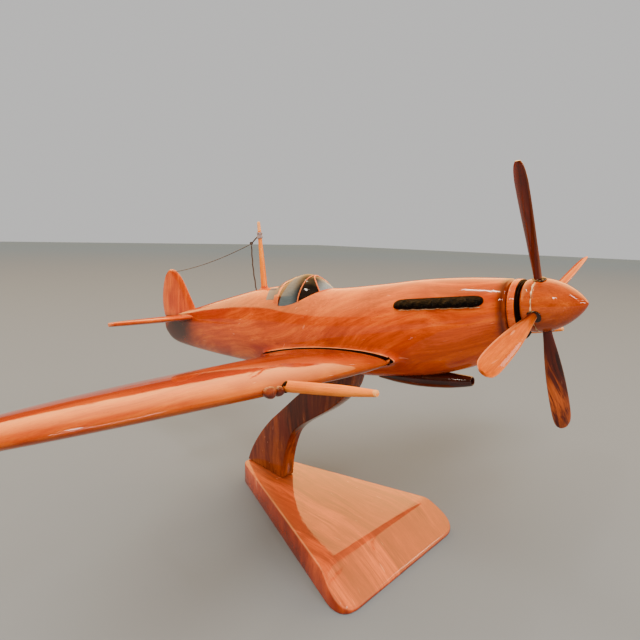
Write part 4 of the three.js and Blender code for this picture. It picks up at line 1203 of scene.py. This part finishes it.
def make_base():
    work = bmesh.new()
    ring = [work.verts.new((x, y, 0)) for x, y in base_outline()]
    work.faces.new(ring)
    cuts = [*np.linspace(BASE["ridge"] - 2.4, BASE["ridge"] + 2.4, 13)]
    for x in cuts:
        geometry = work.verts[:] + work.edges[:] + work.faces[:]
        bmesh.ops.bisect_plane(work, geom=geometry, plane_co=(float(x), 0, 0), plane_no=(1, 0, 0))
    floor = bmesh.ops.extrude_face_region(work, geom=work.faces[:])
    for v in [g for g in floor["geom"] if isinstance(g, bmesh.types.BMVert)]:
        v.co.z = base_height(v.co.x)
    points = np.array([v.co for v in work.verts])
    work.verts.index_update()
    faces = [tuple(v.index for v in f.verts) for f in work.faces]
    work.free()
    made = piece("stand_base_block", points, faces, BASE_WOOD, "stand",
                 grain=points * (1, 1, 0.12), nodes=["stand_base"])
    bevel(made, 0.9, 4, 28)

    def above(p):
        return p[:, 2] - np.array([base_height(v) for v in p[:, 0]])

    # Painted shade: the sides darker below the top edge, more towards the bottom. Painted highlight: a
    # pale line along the rounded top edge.
    store_shade_and_sheen(made, lambda p: np.clip((-above(p) - 0.9) / 0.6, 0, 1) * (0.3 + 0.25 * (1 - p[:, 2] / 13)),
            lambda p: near(above(p), -0.35, 0.5) * 0.35)


def spline(points, count):
    """A smooth curve through the points, evenly divided between each two."""
    p = np.array(points, float)
    p = np.concatenate([[2 * p[0] - p[1]], p, [2 * p[-1] - p[-2]]])
    made = []
    for i in range(1, len(p) - 2):
        for t in np.linspace(0, 1, count, endpoint=False):
            a, b, c, d = p[i - 1:i + 3]
            made.append(0.5 * (2 * b + (c - a) * t + (2 * a - 5 * b + 4 * c - d) * t**2
                               + (3 * b - a - 3 * c + d) * t**3))
    return [*made, p[-2]]


def make_arm():
    outline = np.array(spline(ARM_REAR, 10) + spline(ARM_FRONT, 10))
    count = len(outline)
    points = np.array([(x, y, z) for y in (-ARM_HALF, ARM_HALF) for x, z in outline])
    faces = [tuple(range(count)), tuple(range(2 * count - 1, count - 1, -1))]
    faces += [(i, (i + 1) % count, (i + 1) % count + count, i + count) for i in range(count)]
    grain = np.stack([points[:, 2], points[:, 1], points[:, 0]], 1)
    made = piece("stand_arm_plank", points, faces, ARM_WOOD, "stand", grain=grain,
                 nodes=["stand_arm"])
    bevel(made, 0.7, 3, 50)
    rings = [hull_ring(x, 72) - (0, 0, 0.3) for x in np.linspace(-60, -160, 40)]
    points, faces = skin(rings)
    belly = place_object("belly", solid_mesh("belly", points, faces, True))
    cut = made.modifiers.new("seat", "BOOLEAN")
    cut.operation, cut.object, cut.solver = "DIFFERENCE", belly, "EXACT"
    settle(made)
    bpy.data.objects.remove(belly)
    # Painted shade: darker low at the rear foot and along the line where the arm stands on the base.
    store_shade_and_sheen(made, lambda p: near(p[:, 0], -58, 16) * near(p[:, 2], 20, 16) * 0.75
            + near(p[:, 2], 12.8, 2) * 0.3)


make_canopy()
make_scoop()
make_mast()
make_aerial()
for side_name, side_sign in SIDES:
    make_quarter_patch(side_name, side_sign)
    make_exhaust(side_name, side_sign)
    make_cannon(side_name, side_sign)
    make_gun_stub(side_name, side_sign)
make_spinner()
for number, finish in enumerate((BLADE_DARK, BLADE_LIGHT, BLADE_MOTTLED, BLADE_LIGHT)):
    make_blade(number, finish)
make_base()
make_arm()

for node_name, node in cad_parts.items():
    if node.hide_render:
        continue
    node.data.materials.clear()
    steel = "screw" in node_name or node_name == "propeller_pin"
    node.data.materials.append(STEEL if steel else BRASS if "washer" in node_name else DOWEL)


# ---------------------------------------------------------------- floor and light
def make_floor():
    work = bmesh.new()
    bmesh.ops.create_grid(work, x_segments=2, y_segments=2, size=6.0)
    mesh = bpy.data.meshes.new("floor")
    work.to_mesh(mesh)
    work.free()
    floor = place_object("floor", mesh)
    n = Nodes("floor_matt", roughness=0.9, specular_ior_level=0.0)
    apart = n.add("ShaderNodeVectorMath", operation="LENGTH")
    n.join(n.add("ShaderNodeTexCoord").outputs["Object"], apart.inputs[0])
    tone = n.mix(n.steps(apart.outputs["Value"], 0.5, 4.5), (0.19, 0.23, 0.275), (0.14, 0.225, 0.37))
    n.paint(tone)
    mesh.materials.append(n.material)


AIM, LAMP_DISTANCE = Vector((0.07, 0.0, 0.12)), 2.4


def softbox(name, azimuth, elevation, size, radiance, color):
    """A flat lamp in this direction from the model, in degrees, facing it, with its width level."""
    az, el = math.radians(azimuth), math.radians(elevation)
    data = bpy.data.lights.new(name, "AREA")
    data.shape = "RECTANGLE"
    data.size, data.size_y = size
    data.energy = radiance * math.pi * size[0] * size[1]
    data.color = color
    light = place_object(name, data)
    out = Vector((math.cos(el) * math.cos(az), math.cos(el) * math.sin(az), math.sin(el)))
    light.location = AIM + out * LAMP_DISTANCE
    light.rotation_euler = (-out).to_track_quat("-Z", "Y").to_euler()
    return light


FAR_SIDE = (-0.64, 0.77, 0.0)


def make_world():
    """Plain grey to the eye. Reflections see a bright far wall over a warm dado and a dim near side, so
    that the varnish shows a crisp horizon, and matt surfaces get even light."""
    world = bpy.data.worlds.new("studio")
    bpy.context.scene.world = world
    world.use_nodes = True
    n = Tree(world.node_tree)
    way = n.add("ShaderNodeTexCoord").outputs["Generated"]
    split = n.add("ShaderNodeSeparateXYZ")
    n.join(way, split.inputs[0])
    height = split.outputs[2]
    far = n.steps(n.vector("DOT_PRODUCT", way, FAR_SIDE).outputs["Value"], -0.25, 0.15)
    wall = n.mix(far, (0.34, 0.19, 0.09), (6.6, 3.35, 1.0))
    ceiling = n.mix(n.steps(height, 0.75, 0.95), wall, (1.5, 0.9, 0.35))
    dado = n.mix(far, (0.15, 0.06, 0.03), (0.32, 0.08, 0.03))
    lit = n.mix(n.steps(height, 0.19, 0.22), dado, ceiling)
    path = n.add("ShaderNodeLightPath")
    even = n.mix(path.outputs["Is Diffuse Ray"], lit, (1.12, 0.90, 0.68))
    shown = n.mix(path.outputs["Is Camera Ray"], even, (0.66, 0.65, 0.64))
    n.join(shown, n.tree.nodes["Background"].inputs[0])


make_floor()
make_world()
# name, azimuth, elevation, width and height in metres, radiance
LAMPS = (("lamp_left", -55, 38, (0.26, 0.15), 60),
         ("lamp_strip", -1, 49, (0.1, 0.6), 55),
         ("lamp_nose", 14, 34, (0.12, 0.12), 60),
         ("lamp_rear_low", -112, 33, (0.14, 0.1), 55),
         ("lamp_rear_high", -150, 56, (0.4, 0.08), 55),
         ("lamp_fin", 52, 25, (0.25, 0.5), 16),
         ("lamp_front_low", 1, 17, (0.7, 0.12), 55))
for lamp in LAMPS:
    softbox(*lamp, (1.0, 0.87, 0.74))
fill = softbox("fill_panel", -62, 60, (1.6, 1.4), 8.6, (1.0, 0.86, 0.7))
fill.visible_glossy = False
